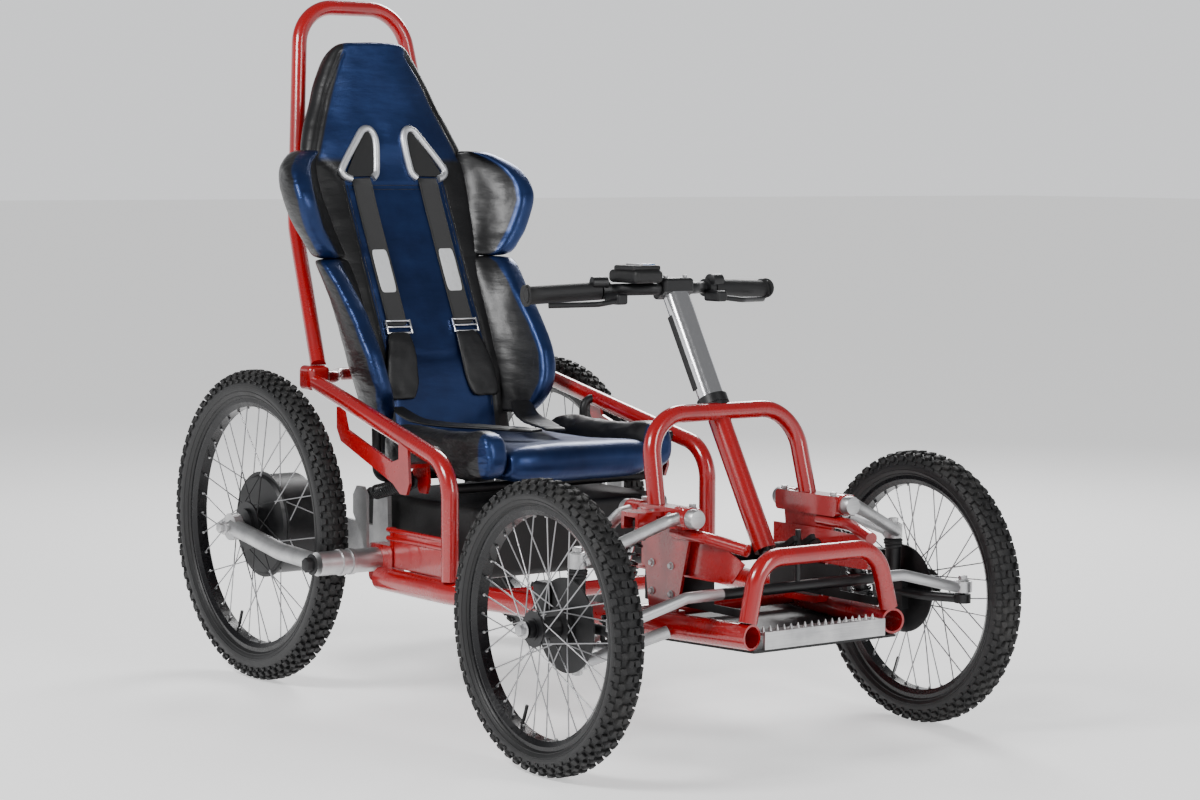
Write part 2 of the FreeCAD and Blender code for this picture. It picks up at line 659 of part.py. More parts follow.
def make_tie_rod():
    """One bent rod across the nose: an eye on each steering arm, a pin for the pitman arm."""
    path = mirrored_path([V(-ARM_END_X + 16, ARM_END_Y, ARM_END_Z), V(-TIE_ELBOW_X, ARM_END_Y,
                          TIE_ELBOW_Z)])
    bar = tube(path, TIE_R, 30)
    eyes = []
    holes = []
    for side, hole_r in ((-1, STUD_R + RUNNING_GAP), (1, STUD_R + TIE_FREE_PLAY)):
        x = side * ARM_END_X
        foot = V(x, ARM_END_Y, ARM_END_Z - 10)
        eyes.append(Part.makeCylinder(17, 20, foot))
        holes.append(Part.makeCylinder(hole_r, 40, foot - V(0, 0, 10)))
    pin = Part.makeCylinder(5, PITMAN_PIN_Z + 22 - TIE_ELBOW_Z, V(0, ARM_END_Y, TIE_ELBOW_Z))
    rod_shape = fused(bar, *eyes, pin)
    for hole in holes:
        rod_shape = rod_shape.cut(hole)
    return rod_shape


def pitman_frame():
    """Point on the steering axis level with the pitman arm, and the arm's direction."""
    along = (POST_TOP - POST_FOOT).normalize()
    forward = V(0, -along.z, along.y)
    pin = V(0, ARM_END_Y, PITMAN_PIN_Z)
    on_axis = POST_FOOT + along * (pin - POST_FOOT).dot(along)
    return on_axis, forward, (pin - on_axis).Length, along


def make_steering_column():
    """Turning shaft inside the post, the pitman arm below and the bright stem above."""
    centre, forward, reach, along = pitman_frame()
    stem_start = POST_TOP + axis_step(STEM_LIFT)
    shaft = rod(centre - along * 7, stem_start, SHAFT_R)
    boss = rod(centre - along * 7, centre + along * 7, 20)
    plate = Part.makeBox(PITMAN_WIDTH, reach + 20, 10, V(-PITMAN_WIDTH / 2, 0, -5))
    slot = Part.makeBox(PITMAN_SLOT, 80, 30, V(-PITMAN_SLOT / 2, reach - 30, -15))
    plate = plate.cut(slot)
    across = V(-1, 0, 0)
    turn = FreeCAD.Rotation(across, forward, along, "ZYX")
    plate.Placement = FreeCAD.Placement(centre, turn)
    section = Part.makeBox(STEM_WIDTH, STEM_DEPTH, STEM_LENGTH,
                           V(-STEM_WIDTH / 2, -STEM_DEPTH / 2, 0))
    section = rounded(section, 14, V(0, 0, 1))
    section.Placement = FreeCAD.Placement(stem_start, turn)
    return fused(shaft, boss, plate), section


def make_post_collar():
    """Black clamp collar at the top of the post."""
    ring = rod(POST_TOP - axis_step(8), POST_TOP + axis_step(8), POST_R + 8)
    ring = ring.cut(rod(POST_TOP - axis_step(40), POST_TOP + axis_step(40), POST_R + SEAT_GAP))
    return ring


def bar_points():
    centre = POST_TOP + axis_step(STEM_LIFT + STEM_LENGTH + 14)
    return centre, [V(-BAR_END_X, centre.y + 78, centre.z - 10),
                    V(-96, centre.y + 46, centre.z - 2), V(-50, centre.y, centre.z)]


def make_handlebar():
    """Swept-back bar with its clamp."""
    centre, half = bar_points()
    bar = tube(mirrored_path(half), BAR_R, 34)
    clamp = rounded(box(-34, 34, centre.y - 20, centre.y + 20, centre.z - 20, centre.z + 20), 7)
    stem_cut = rod(POST_TOP, POST_TOP + axis_step(STEM_LIFT + STEM_LENGTH + SEAT_GAP), 60)
    return fused(bar, clamp).cut(stem_cut)


def make_grips():
    """Rubber grips with end discs."""
    centre, half = bar_points()
    along = (half[0] - half[1]).normalize()
    start = half[0] - along * GRIP_LENGTH
    end = half[0] + along * 3
    grip = rod(start, end, GRIP_R)
    grip = grip.fuse(rod(end - along * 5, end, GRIP_R + 3))
    grip = grip.cut(rod(start - along * 10, half[0] + along * SEAT_GAP, BAR_R + SEAT_GAP))
    return pair(grip.removeSplitter())


def make_brake_levers():
    """Brake levers with their clamps, in front of the grips."""
    centre, half = bar_points()
    along = (half[0] - half[1]).normalize()
    root = half[0] - along * (GRIP_LENGTH + 11)
    clamp = rod(root - along * 8, root + along * 8, GRIP_R)
    body = rounded(box(root.x - 8, root.x + 16, root.y - 52, root.y - 8, root.z - 24,
                       root.z - 4), 5)
    blade = tube([V(root.x + 4, root.y - 44, root.z - 16), V(root.x - 46, root.y - 46,
                 root.z - 22), V(root.x - 128, root.y - 6, root.z - 24)], 5, 30)
    lever = fused(clamp, body, blade)
    lever = lever.cut(rod(root - along * 60, root + along * 60, BAR_R + SEAT_GAP))
    return pair(lever)


def make_control_pod():
    """Drive controller pod on the right-hand side of the bar."""
    centre, half = bar_points()
    low = centre.z + BAR_R + SEAT_GAP
    return rounded(box(-104, -40, centre.y - 26, centre.y + 62, low, low + 24), 9)


# ---------------------------------------------------------------- seat
BACK_LINE = [(355, 440), (368, 500), (394, 620), (434, 712), (506, 860), (564, 985), (609, 1107),
             (632, 1190), (656, 1282)]


def make_seat_back():
    """Padded back and head panel, cut to the bucket's front outline."""
    front = [V(-250, y, z) for y, z in BACK_LINE]
    rear = [V(-250, y + BACK_THICK, z - 12) for y, z in BACK_LINE]
    face = Part.Face(Part.makePolygon(front + rear[::-1] + front[:1]))
    slab = face.extrude(V(500, 0, 0))
    half = [(BACK_HALF, 420), (BACK_HALF, 820), (192, 900), (198, 1040), (186, 1078),
            (138, 1184), (96, 1262), (74, 1279)]
    outline = [(-x, z) for x, z in half] + [(x, z) for x, z in reversed(half)]
    return slab.common(front_plate(outline, 300, 800))


def loft_x(outlines):
    """Solid through (x, outline) pairs, each outline a list of (y, z) points."""
    wires = []
    for x, outline in outlines:
        corners = [V(x, y, z) for y, z in outline]
        wires.append(Part.makePolygon(corners + corners[:1]))
    return Part.makeLoft(wires, True, True)


def make_shoulder_wings():
    """Wings that flare out and forward either side of the shoulders."""
    root = [(528, 850), (600, 850), (646, 960), (655, 1040), (630, 1066), (575, 1066),
            (568, 985)]
    tip = [(482, 880), (520, 880), (542, 950), (548, 1010), (535, 1034), (500, 1030),
           (474, 960)]
    end = [(484, 905), (506, 905), (522, 950), (524, 990), (516, 1006), (500, 1002),
           (482, 955)]
    return pair(loft_x([(-198 - SEAT_GAP, root), (-272, tip), (-290, end)]))


def make_waist_bolsters():
    """Side bolsters from the shoulders down to the hips."""
    outline = [(560, 838), (482, 842), (420, 790), (350, 710), (308, 650), (292, 580),
               (318, 536), (400, 536), (430, 600), (470, 700), (530, 790)]
    bolster = smooth_side_plate(outline, -236, -BACK_HALF - SEAT_GAP)
    return pair(bolster)


def make_seat_cushion():
    """Cushion with its thick front roll."""
    shape = box(-CUSHION_HALF, CUSHION_HALF, CUSHION_FRONT_Y, 420, CUSHION_BOTTOM_Z,
                CUSHION_TOP_Z)
    back = [(y - SEAT_GAP, z) for y, z in BACK_LINE] + [(900, 1300), (900, 400), (346, 400)]
    return rounded(shape, 22).cut(side_plate(back, -300, 300))


def make_thigh_bolsters():
    """Raised rolls along both sides of the cushion."""
    outline = [(-96, 500), (-84, 452), (-40, 437), (80, 434), (200, 437), (275, 452), (275, 505),
               (200, 532), (0, 536), (-70, 532)]
    roll = smooth_side_plate(outline, -CUSHION_HALF - 48, -CUSHION_HALF - SEAT_GAP)
    return pair(roll.makeFillet(12, roll.Edges))


def back_y(z):
    """Y of the back's front face at a height."""
    for (y0, z0), (y1, z1) in zip(BACK_LINE, BACK_LINE[1:]):
        if z <= z1:
            return y0 + (y1 - y0) * (z - z0) / (z1 - z0)
    return BACK_LINE[-1][0]


def make_harness_bezels():
    """Bright open-bottomed trim round the two harness slots."""
    path = [V(x, back_y(z) - 5.5, z) for x, z in ((-112, 1006), (-126, 1018), (-58, 1104),
                                                  (-34, 1102), (-46, 1012))]
    return pair(tube(path, 4.5, 7))


def make_harness():
    """Shoulder straps from the slots down to the hips."""
    heights = [1010] + [z for y, z in reversed(BACK_LINE) if 540 < z < 1010] + [530]
    front = [V(-104, back_y(z) - 3.5, z) for z in heights]
    rear = [V(-104, back_y(z) - SEAT_GAP, z) for z in heights]
    face = Part.Face(Part.makePolygon(front + rear[::-1] + front[:1]))
    return pair(face.extrude(V(46, 0, 0)))


# ---------------------------------------------------------------- build
def build():
    wishbones_upper, wishbones_lower = make_wishbones()
    column, stem = make_steering_column()
    main_tubes = make_main_tubes()
    side_rails = make_side_rails()
    brackets = make_suspension_brackets()
    nose_tubes = make_nose_tubes().cut(brackets)
    seat_back = make_seat_back()
    nodes = {
        "main_tubes": main_tubes,
        "side_rails": side_rails,
        "rear_crossbar": make_rear_crossbar().cut(side_rails),
        "roll_bar": make_roll_bar(),
        "rail_plates": make_rail_plates().cut(side_rails),
        "front_hoop": make_front_hoop(),
        "bumper_hoop": make_bumper_hoop(),
        "nose_tubes": nose_tubes,
        "suspension_brackets": brackets,
        "steering_post": make_post(),
        "post_collar": make_post_collar(),
        "nose_crossbar": make_nose_crossbar(),
        "nose_panels": make_nose_panels().cut(brackets).cut(nose_tubes),
        "kick_panels": make_kick_panels(),
        "floor_pan": make_floor_pan(),
        "front_lip": make_front_lip(),
        "side_panels": make_side_panels().cut(main_tubes).cut(side_rails),
        "battery_box": make_battery_box(),
        "seat_frame": make_seat_frame().cut(side_rails),
        "rear_swingarms": make_swingarms(),
        "rear_shocks": make_rear_shocks(),
        "upper_wishbones": wishbones_upper.cut(brackets),
        "lower_wishbones": wishbones_lower.cut(main_tubes),
        "front_shocks": make_front_shocks(),
        "tie_rod": make_tie_rod(),
        "steering_column": column,
        "stem": stem,
        "handlebar": make_handlebar(),
        "grips": make_grips(),
        "brake_levers": make_brake_levers(),
        "control_pod": make_control_pod(),
        "seat_back": seat_back,
        "shoulder_wings": make_shoulder_wings(),
        "waist_bolsters": make_waist_bolsters().cut(seat_back),
        "seat_cushion": make_seat_cushion(),
        "thigh_bolsters": make_thigh_bolsters(),
        "harness_bezels": make_harness_bezels(),
        "harness_straps": make_harness(),
    }
    nodes.update(make_knuckles())
    nodes.update(make_wheels())
    os.makedirs("parts", exist_ok=True)
    for name, shape in nodes.items():
        shape.exportStep(f"parts/{name}.step")
        print(f"{name}: {len(shape.Solids)} solids, {shape.Volume / 1e3:.1f} cm3,"
              f" valid {shape.isValid()}")


build()
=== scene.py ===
"""All-terrain wheelchair: finishes, upholstery, tyre tread and small fittings on the built frame."""
import math
import json

import bpy
from mathutils import Matrix, Vector


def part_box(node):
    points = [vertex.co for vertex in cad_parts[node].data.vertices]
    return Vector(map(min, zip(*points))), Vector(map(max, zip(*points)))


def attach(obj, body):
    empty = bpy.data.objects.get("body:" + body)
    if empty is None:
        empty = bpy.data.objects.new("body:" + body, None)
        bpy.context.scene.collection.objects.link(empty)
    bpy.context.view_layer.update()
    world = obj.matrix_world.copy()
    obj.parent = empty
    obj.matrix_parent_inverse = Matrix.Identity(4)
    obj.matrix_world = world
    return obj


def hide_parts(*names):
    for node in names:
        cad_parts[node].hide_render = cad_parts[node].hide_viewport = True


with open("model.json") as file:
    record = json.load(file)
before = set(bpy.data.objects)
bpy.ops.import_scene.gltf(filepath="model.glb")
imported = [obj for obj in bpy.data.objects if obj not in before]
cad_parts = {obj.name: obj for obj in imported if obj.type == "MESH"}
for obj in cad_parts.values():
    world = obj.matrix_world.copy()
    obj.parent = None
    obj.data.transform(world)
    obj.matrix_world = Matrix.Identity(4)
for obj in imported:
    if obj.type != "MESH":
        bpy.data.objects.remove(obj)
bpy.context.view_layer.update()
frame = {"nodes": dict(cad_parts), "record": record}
nodes = frame["nodes"]

WHEELS = {name[5:]: name for name in sorted(nodes) if name.startswith("tyre_")}
SIDES = {"right": -1, "left": 1}


# ---------------------------------------------------------------- shader maths

class Link:
    """A shader socket that takes part in Python expressions."""

    def __init__(self, net, socket):
        self.net = net
        self.socket = socket

    def maths(self, operation, *others):
        return self.net.add("ShaderNodeMath", {"operation": operation}, self, *others)

    def __add__(self, other):
        return self.maths("ADD", other)

    def __sub__(self, other):
        return self.maths("SUBTRACT", other)

    def __mul__(self, other):
        return self.maths("MULTIPLY", other)

    def __rsub__(self, other):
        return self.net.add("ShaderNodeMath", {"operation": "SUBTRACT"}, other, self)

    __radd__ = __add__
    __rmul__ = __mul__

    def clamp(self):
        return self.net.add("ShaderNodeClamp", {}, self)

    def step(self, low, high):
        """0 below low, 1 above high, smooth between."""
        return self.net.add("ShaderNodeMapRange", {"interpolation_type": "SMOOTHSTEP"},
                            self, low, high, 0.0, 1.0)


class Net:
    """The node tree of one material."""

    def __init__(self, name):
        self.material = bpy.data.materials.new(name)
        self.material.use_nodes = True
        self.tree = self.material.node_tree
        self.shader = self.tree.nodes["Principled BSDF"]
        self.place = self.add("ShaderNodeTexCoord", {}, output="Object")

    def add(self, kind, settings, *values, output=0, **named):
        """Adds a node: its settings first, then the values or links of its sockets."""
        node = self.tree.nodes.new(kind)
        for key, value in settings.items():
            setattr(node, key, value)
        pairs = [(node.inputs[index], value) for index, value in enumerate(values)]
        pairs += [(node.inputs[key.replace("_", " ")], value) for key, value in named.items()]
        for socket, value in pairs:
            self.feed(socket, value)
        return Link(self, node.outputs[output])

    def feed(self, socket, value):
        if isinstance(value, Link):
            self.tree.links.new(value.socket, socket)
        elif value is not None:
            socket.default_value = value

    def set(self, **values):
        """Sets or links sockets of the surface shader."""
        for key, value in values.items():
            self.feed(self.shader.inputs[key.replace("_", " ")], value)
        return self

    def noise(self, scale, detail=3.0, where=None, roughness=0.5):
        return self.add("ShaderNodeTexNoise", {}, Vector=where or self.place, Scale=scale,
                        Detail=detail, Roughness=roughness)

    def cells(self, scale, where=None, feature="F1"):
        return self.add("ShaderNodeTexVoronoi", {"feature": feature}, Vector=where or self.place,
                        Scale=scale)

    def stretch(self, x, y, z):
        return self.add("ShaderNodeMapping", {}, Vector=self.place, Scale=(x, y, z))

    def mix(self, factor, low, high):
        """Blend of two colours."""
        node = self.tree.nodes.new("ShaderNodeMix")
        node.data_type = "RGBA"
        self.feed(node.inputs[0], factor)
        for socket, value in ((node.inputs[6], low), (node.inputs[7], high)):
            self.feed(socket, value if isinstance(value, Link) else (*value, 1.0))
        return Link(self, node.outputs[2])

    def bump(self, height, strength, distance, onto=None):
        return self.add("ShaderNodeBump", {}, Height=height, Strength=strength,
                        Distance=distance, Normal=onto)

    def axis(self, index, where=None):
        return self.add("ShaderNodeSeparateXYZ", {}, where or self.place, output=index)

    def distance(self, centre, flatten=(1, 1, 1)):
        """Distance of the surface from a point, or from a line where an axis is flattened."""
        moved = self.add("ShaderNodeVectorMath", {"operation": "SUBTRACT"}, self.place,
                         tuple(centre))
        flat = self.add("ShaderNodeVectorMath", {"operation": "MULTIPLY"}, moved, flatten)
        return self.add("ShaderNodeVectorMath", {"operation": "LENGTH"}, flat, output=1)


def dust(net, amount=1.0):
    """Worn patches: broad soft blotches cut up by fine grain."""
    broad = net.noise(9.0, 4.0)
    fine = net.noise(160.0, 5.0)
    return ((broad * 0.65 + fine * 0.35).step(0.46, 0.68) * amount).clamp()


def gloss_paint(name, colour, deep, rough):
    """Powder coat under a clear coat, with faint orange peel and handling marks."""
    net = Net(name)
    worn = dust(net)
    peel = net.noise(420.0, 2.0)
    net.set(Base_Color=net.mix(worn * 0.5, colour, deep),
            Roughness=worn * 0.12 + rough, Coat_Weight=1.0, Coat_Roughness=0.06,
            Normal=net.bump(peel, 0.06, 0.0004))
    return net.material


def satin_metal(name, colour, edge, rough=0.42, metal=0.1):
    net = Net(name)
    worn = dust(net)
    grain = net.noise(700.0, 2.0)
    net.set(Base_Color=net.mix(worn * 0.6, colour, edge), Metallic=worn * 0.25 + metal,
            Roughness=worn * 0.18 + rough, Normal=net.bump(grain, 0.12, 0.0003))
    return net.material


def brushed(name, colour, dark, rough, lay=(6, 300, 300), strength=0.1):
    """Bare metal with a brushed lay and slightly cloudy tone."""
    net = Net(name)
    lines = net.noise(2.0, 6.0, net.stretch(*lay), 0.7)
    cloud = net.noise(24.0, 4.0)
    net.set(Base_Color=net.mix((cloud * 0.6 + lines * 0.4).step(0.35, 0.7), colour, dark),
            Metallic=1.0, Roughness=lines * 0.2 + cloud * 0.12 + rough,
            Normal=net.bump(lines, strength, 0.0004))
    return net.material


def moulded(name, colour, pale, rough=0.55, grain_size=900.0):
    """Moulded plastic with spark-eroded grain."""
    net = Net(name)
    worn = dust(net)
    grain = net.cells(grain_size)
    net.set(Base_Color=net.mix(worn * 0.7, colour, pale), Roughness=worn * 0.2 + rough,
            Normal=net.bump(grain, 0.25, 0.0004))
    return net.material


def leatherette(name, colour, sheen_colour, rough, coat, crease=0.35):
    """Coated upholstery: pebble grain, stretched creases and a soft satin gloss."""
    net = Net(name)
    warp = net.noise(30.0, 3.0)
    pebble = net.cells(1100.0, feature="SMOOTH_F1")
    folds = net.noise(7.0, 4.0, net.stretch(1.0, 1.0, 3.5), 0.55)
    tone = net.noise(5.0, 3.0)
    fine = net.bump(pebble, 0.22, 0.0003)
    rub = (tone * 0.7 + warp * 0.3).step(0.35, 0.7)
    net.set(Base_Color=net.mix(rub, colour, sheen_colour), Roughness=warp * 0.16 + rough,
            Coat_Weight=coat, Coat_Roughness=0.25,
            Normal=net.bump(folds, crease, 0.012, fine) if crease else fine)
    return net.material


def woven(name, colour, pale):
    """Flat webbing: ribs across the strap and a fine herringbone."""
    net = Net(name)
    across = net.add("ShaderNodeTexWave", {"bands_direction": "Z"}, Vector=net.place,
                     Scale=260.0, Distortion=0.4, Detail=1.0)
    along = net.add("ShaderNodeTexWave", {"bands_direction": "X"}, Vector=net.place,
                    Scale=180.0, Distortion=0.6, Detail=1.0)
    fuzz = net.noise(900.0, 2.0)
    weave = across * 0.6 + along * 0.3 + fuzz * 0.2
    net.set(Base_Color=net.mix(weave.step(0.3, 0.9), colour, pale), Roughness=0.72,
            Sheen_Weight=0.35, Normal=net.bump(weave, 0.5, 0.0006))
    return net.material


def tyre_rubber(name, centre, radius):
    """Black rubber: dusty knobs, plain satin side walls with fine moulding rings."""
    net = Net(name)
    reach = net.distance(centre, (0, 1, 1))
    outer = reach.step(radius - 0.03, radius - 0.006)
    rings = net.add("ShaderNodeMath", {"operation": "SINE"}, reach * 1600.0)
    worn = dust(net)
    grain = net.noise(500.0, 3.0)
    net.set(Base_Color=net.mix(worn * (outer * 0.6 + 0.3), (0.004, 0.004, 0.0045),
                               (0.03, 0.029, 0.028)),
            Roughness=outer * 0.2 + worn * 0.15 + 0.45,
            Normal=net.bump(grain + rings * ((1 - outer) * 0.25), 0.3, 0.0006))
    return net.material


def hub_metal(name, centre, flange, disc_edge):
    """Black hub shell whose spokes, beyond the flange, are bright steel."""
    net = Net(name)
    reach = net.distance(centre, (0, 1, 1))
    beyond = reach.step(flange, flange + 0.003)
    beside = net.distance(centre, (1, 0, 0))
    disc = (1 - reach.step(disc_edge, disc_edge + 0.001)) * beside.step(0.034, 0.0345)
    spoke = (beyond * (1 - disc)).clamp()
    worn = dust(net)
    grain = net.noise(600.0, 2.0)
    shell = net.mix(worn * 0.6, (0.005, 0.005, 0.006), (0.03, 0.03, 0.03))
    net.set(Base_Color=net.mix(spoke, shell, (0.36, 0.36, 0.37)),
            Metallic=spoke * 0.8 + 0.1, Roughness=worn * 0.15 + 0.42 - spoke * 0.12,
            Normal=net.bump(grain, 0.1, 0.0003))
    return net.material


def rod_metal(name, sleeve_end):
    """Bright rod with a black sleeve over its middle."""
    net = Net(name)
    aside = net.distance((0, 0, 0), (1, 0, 0))
    bare = aside.step(sleeve_end, sleeve_end + 0.003)
    worn = dust(net)
    net.set(Base_Color=net.mix(bare, (0.006, 0.006, 0.007), (0.55, 0.55, 0.56)),
            Metallic=bare * 0.8 + 0.1, Roughness=worn * 0.12 + 0.38)
    return net.material


RED = gloss_paint("frame_red", (0.33, 0.0, 0.002), (0.2, 0.0, 0.001), 0.26)
BLACK = satin_metal("black_satin", (0.005, 0.005, 0.006), (0.02, 0.02, 0.021))
PLASTIC = moulded("black_moulding", (0.004, 0.004, 0.0045), (0.016, 0.016, 0.016))
SILVER = brushed("brushed_alloy", (0.62, 0.62, 0.62), (0.4, 0.4, 0.41), 0.28)
BRIGHT = brushed("polished_alloy", (0.86, 0.86, 0.87), (0.78, 0.78, 0.8), 0.06,
                 (90, 90, 2), 0.01)
BRIGHT_TRIM = brushed("satin_trim", (0.75, 0.76, 0.78), (0.62, 0.63, 0.65), 0.3, (60, 60, 60), 0.03)
RIM = satin_metal("rim_black", (0.004, 0.004, 0.005), (0.015, 0.015, 0.016), 0.24, 0.1)
GRIP = moulded("grip_rubber", (0.005, 0.005, 0.006), (0.02, 0.02, 0.02), 0.6, 500.0)
BLUE_HIDE = leatherette("seat_blue", (0.006, 0.014, 0.05), (0.02, 0.05, 0.17), 0.3, 0.5)
BLACK_HIDE = leatherette("seat_black", (0.003, 0.003, 0.004), (0.009, 0.009, 0.010), 0.38, 0.12,
                         0.15)
GLASS = leatherette("pod_window", (0.03, 0.09, 0.24), (0.06, 0.16, 0.4), 0.05, 1.0, 0.0)
WEBBING = woven("webbing", (0.004, 0.004, 0.0045), (0.022, 0.022, 0.023))
LABEL = moulded("blank_label", (0.62, 0.63, 0.64), (0.5, 0.5, 0.5), 0.5, 1500.0)

SLOT_FINISH = {
    "frame_red": RED, "black_metal": BLACK, "black_plastic": PLASTIC,
    "bare_aluminium": SILVER, "polished_aluminium": BRIGHT, "rim_black": RIM,
    "grip_rubber": GRIP, "seat_blue": BLUE_HIDE, "seat_black": BLACK_HIDE, "webbing": WEBBING,
}


def finish_node(name, material):
    mesh = nodes[name].data
    mesh.materials.clear()
    mesh.materials.append(material)


for part in frame["record"]["subparts"]:
    if part["material_slot"] in SLOT_FINISH:
        finish_node(part["node"], SLOT_FINISH[part["material_slot"]])
finish_node("tie_rod", rod_metal("tie_rod_finish", 0.168))


# ---------------------------------------------------------------- modelling helpers

def clear():
    """Leaves nothing selected, so an operator acts on the new piece alone."""
    if bpy.context.mode != "OBJECT":
        bpy.ops.object.mode_set(mode="OBJECT")
    bpy.ops.object.select_all(action="DESELECT")


def hold(piece):
    clear()
    piece.select_set(True)
    bpy.context.view_layer.objects.active = piece
    return piece


def settled():
    """Puts the place, turn and scale of the active object into its mesh."""
    bpy.ops.object.transform_apply(location=True, rotation=True, scale=True)
    return bpy.context.object


def modified(piece, kind, **settings):
    hold(piece)
    modifier = piece.modifiers.new(kind.lower(), kind)
    for key, value in settings.items():
        setattr(modifier, key, value)
    bpy.ops.object.modifier_apply(modifier=modifier.name)
    return piece


def turned(piece, matrix):
    piece.data.transform(matrix)
    return piece


def copied(piece, matrix):
    """A copy with its own mesh, moved by a matrix."""
    mesh = piece.data.copy()
    twin = bpy.data.objects.new(piece.name, mesh)
    bpy.context.scene.collection.objects.link(twin)
    return turned(twin, matrix)


def joined(name, pieces):
    clear()
    for piece in pieces:
        piece.select_set(True)
    bpy.context.view_layer.objects.active = pieces[0]
    if len(pieces) > 1:
        bpy.ops.object.join()
    whole = bpy.context.object
    whole.name = name
    whole.data.name = name
    return whole


def mirror_twins(pieces):
    """The same pieces on the other side, with their faces still outwards."""
    twins = []
    for piece in pieces:
        twin = copied(piece, Matrix.Scale(-1, 4, Vector((1, 0, 0))))
        twin.data.flip_normals()
        twins.append(twin)
    return twins


def finished(piece, body, material, sharp=35.0):
    hold(piece)
    piece.data.materials.clear()
    piece.data.materials.append(material)
    bpy.ops.object.shade_smooth_by_angle(angle=math.radians(sharp))
    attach(piece, body)
    return piece


def facing(direction):
    """Turn that takes +Z to a direction."""
    return Vector(direction).normalized().to_track_quat("Z", "Y").to_matrix().to_4x4()


def block(size, bevel=0.0, segments=2):
    clear()
    bpy.ops.mesh.primitive_cube_add(size=1, scale=size)
    piece = settled()
    if bevel:
        modified(piece, "BEVEL", width=bevel, segments=segments)
    return piece


def turning(outline, steps=32):
    """Closed shape turned about Z from (radius, height) points, poles closed."""
    clear()
    bpy.ops.mesh.primitive_circle_add(vertices=steps, radius=outline[0][0],
                                      location=(0, 0, outline[0][1]), fill_type="NGON")
    settled()
    bpy.ops.object.mode_set(mode="EDIT")
    bpy.ops.mesh.select_all(action="SELECT")
    last_r, last_z = outline[0]
    for radius, height in outline[1:]:
        move = {"value": (0, 0, height - last_z)}
        bpy.ops.mesh.extrude_region_move(TRANSFORM_OT_translate=move)
        share = radius / last_r
        bpy.ops.transform.resize(value=(share, share, 1), center_override=(0, 0, height))
        last_r, last_z = radius, height
    bpy.ops.mesh.select_all(action="SELECT")
    bpy.ops.mesh.normals_make_consistent(inside=False)
    bpy.ops.object.mode_set(mode="OBJECT")
    return bpy.context.object


def wire(name, points, radius, sides=3, closed=False, taut=False):
    """Round wire along a smooth line, as a mesh."""
    curve = bpy.data.curves.new(name, "CURVE")
    curve.dimensions = "3D"
    curve.bevel_depth = radius
    curve.bevel_resolution = sides
    curve.use_fill_caps = True
    line = curve.splines.new("POLY" if taut else "NURBS")
    line.points.add(len(points) - 1)
    for point, place in zip(line.points, points):
        point.co = (*place, 1)
    line.use_cyclic_u = closed
    if not taut:
        line.order_u = 3
        line.use_endpoint_u = not closed
    piece = bpy.data.objects.new(name, curve)
    bpy.context.scene.collection.objects.link(piece)
    hold(piece)
    bpy.ops.object.convert(target="MESH")
    return bpy.context.object


def ring_of(piece, centre, count):
    """Repeats a piece round the axle line through a centre."""
    hold(piece)
    bpy.ops.object.mode_set(mode="EDIT")
    bpy.ops.mesh.select_all(action="SELECT")
    bpy.ops.mesh.spin(steps=count - 1, dupli=True, angle=2 * math.pi * (count - 1) / count,
                      center=centre, axis=(1, 0, 0))
    bpy.ops.object.mode_set(mode="OBJECT")
    return piece


def hex_bolt(place, direction, across, height=None):
    """Flanged hexagon head standing on a face at a place."""
    height = height or across * 0.55
    clear()
    bpy.ops.mesh.primitive_cylinder_add(vertices=6, radius=across / 1.732, depth=height,
                                        location=(0, 0, height / 2 + across * 0.1))
    head = modified(settled(), "BEVEL", width=across * 0.06, segments=2)
    washer = turning([(across * 0.66, 0), (across * 0.78, across * 0.03),
                      (across * 0.78, across * 0.1), (across * 0.7, across * 0.14)], 24)
    bolt = joined("bolt", [head, washer])
    return turned(bolt, Matrix.Translation(place) @ facing(direction))


# ---------------------------------------------------------------- wheels

KNOB_HEIGHT = 0.0055
KNOB_PITCH = 0.0265
TYRE_HALF = 0.0275
RIM_SEAT = 0.009


def knob(x, reach, turn, size, skew=0.0):
    """One tread block at the top of the wheel, tipped outwards by a turn about Y."""
    piece = block(size, 0.0011, 1)
    tip = Matrix.Rotation(turn, 4, "Y") @ Matrix.Rotation(skew, 4, "Z")
    return turned(piece, Matrix.Translation((x, 0, reach)) @ tip)


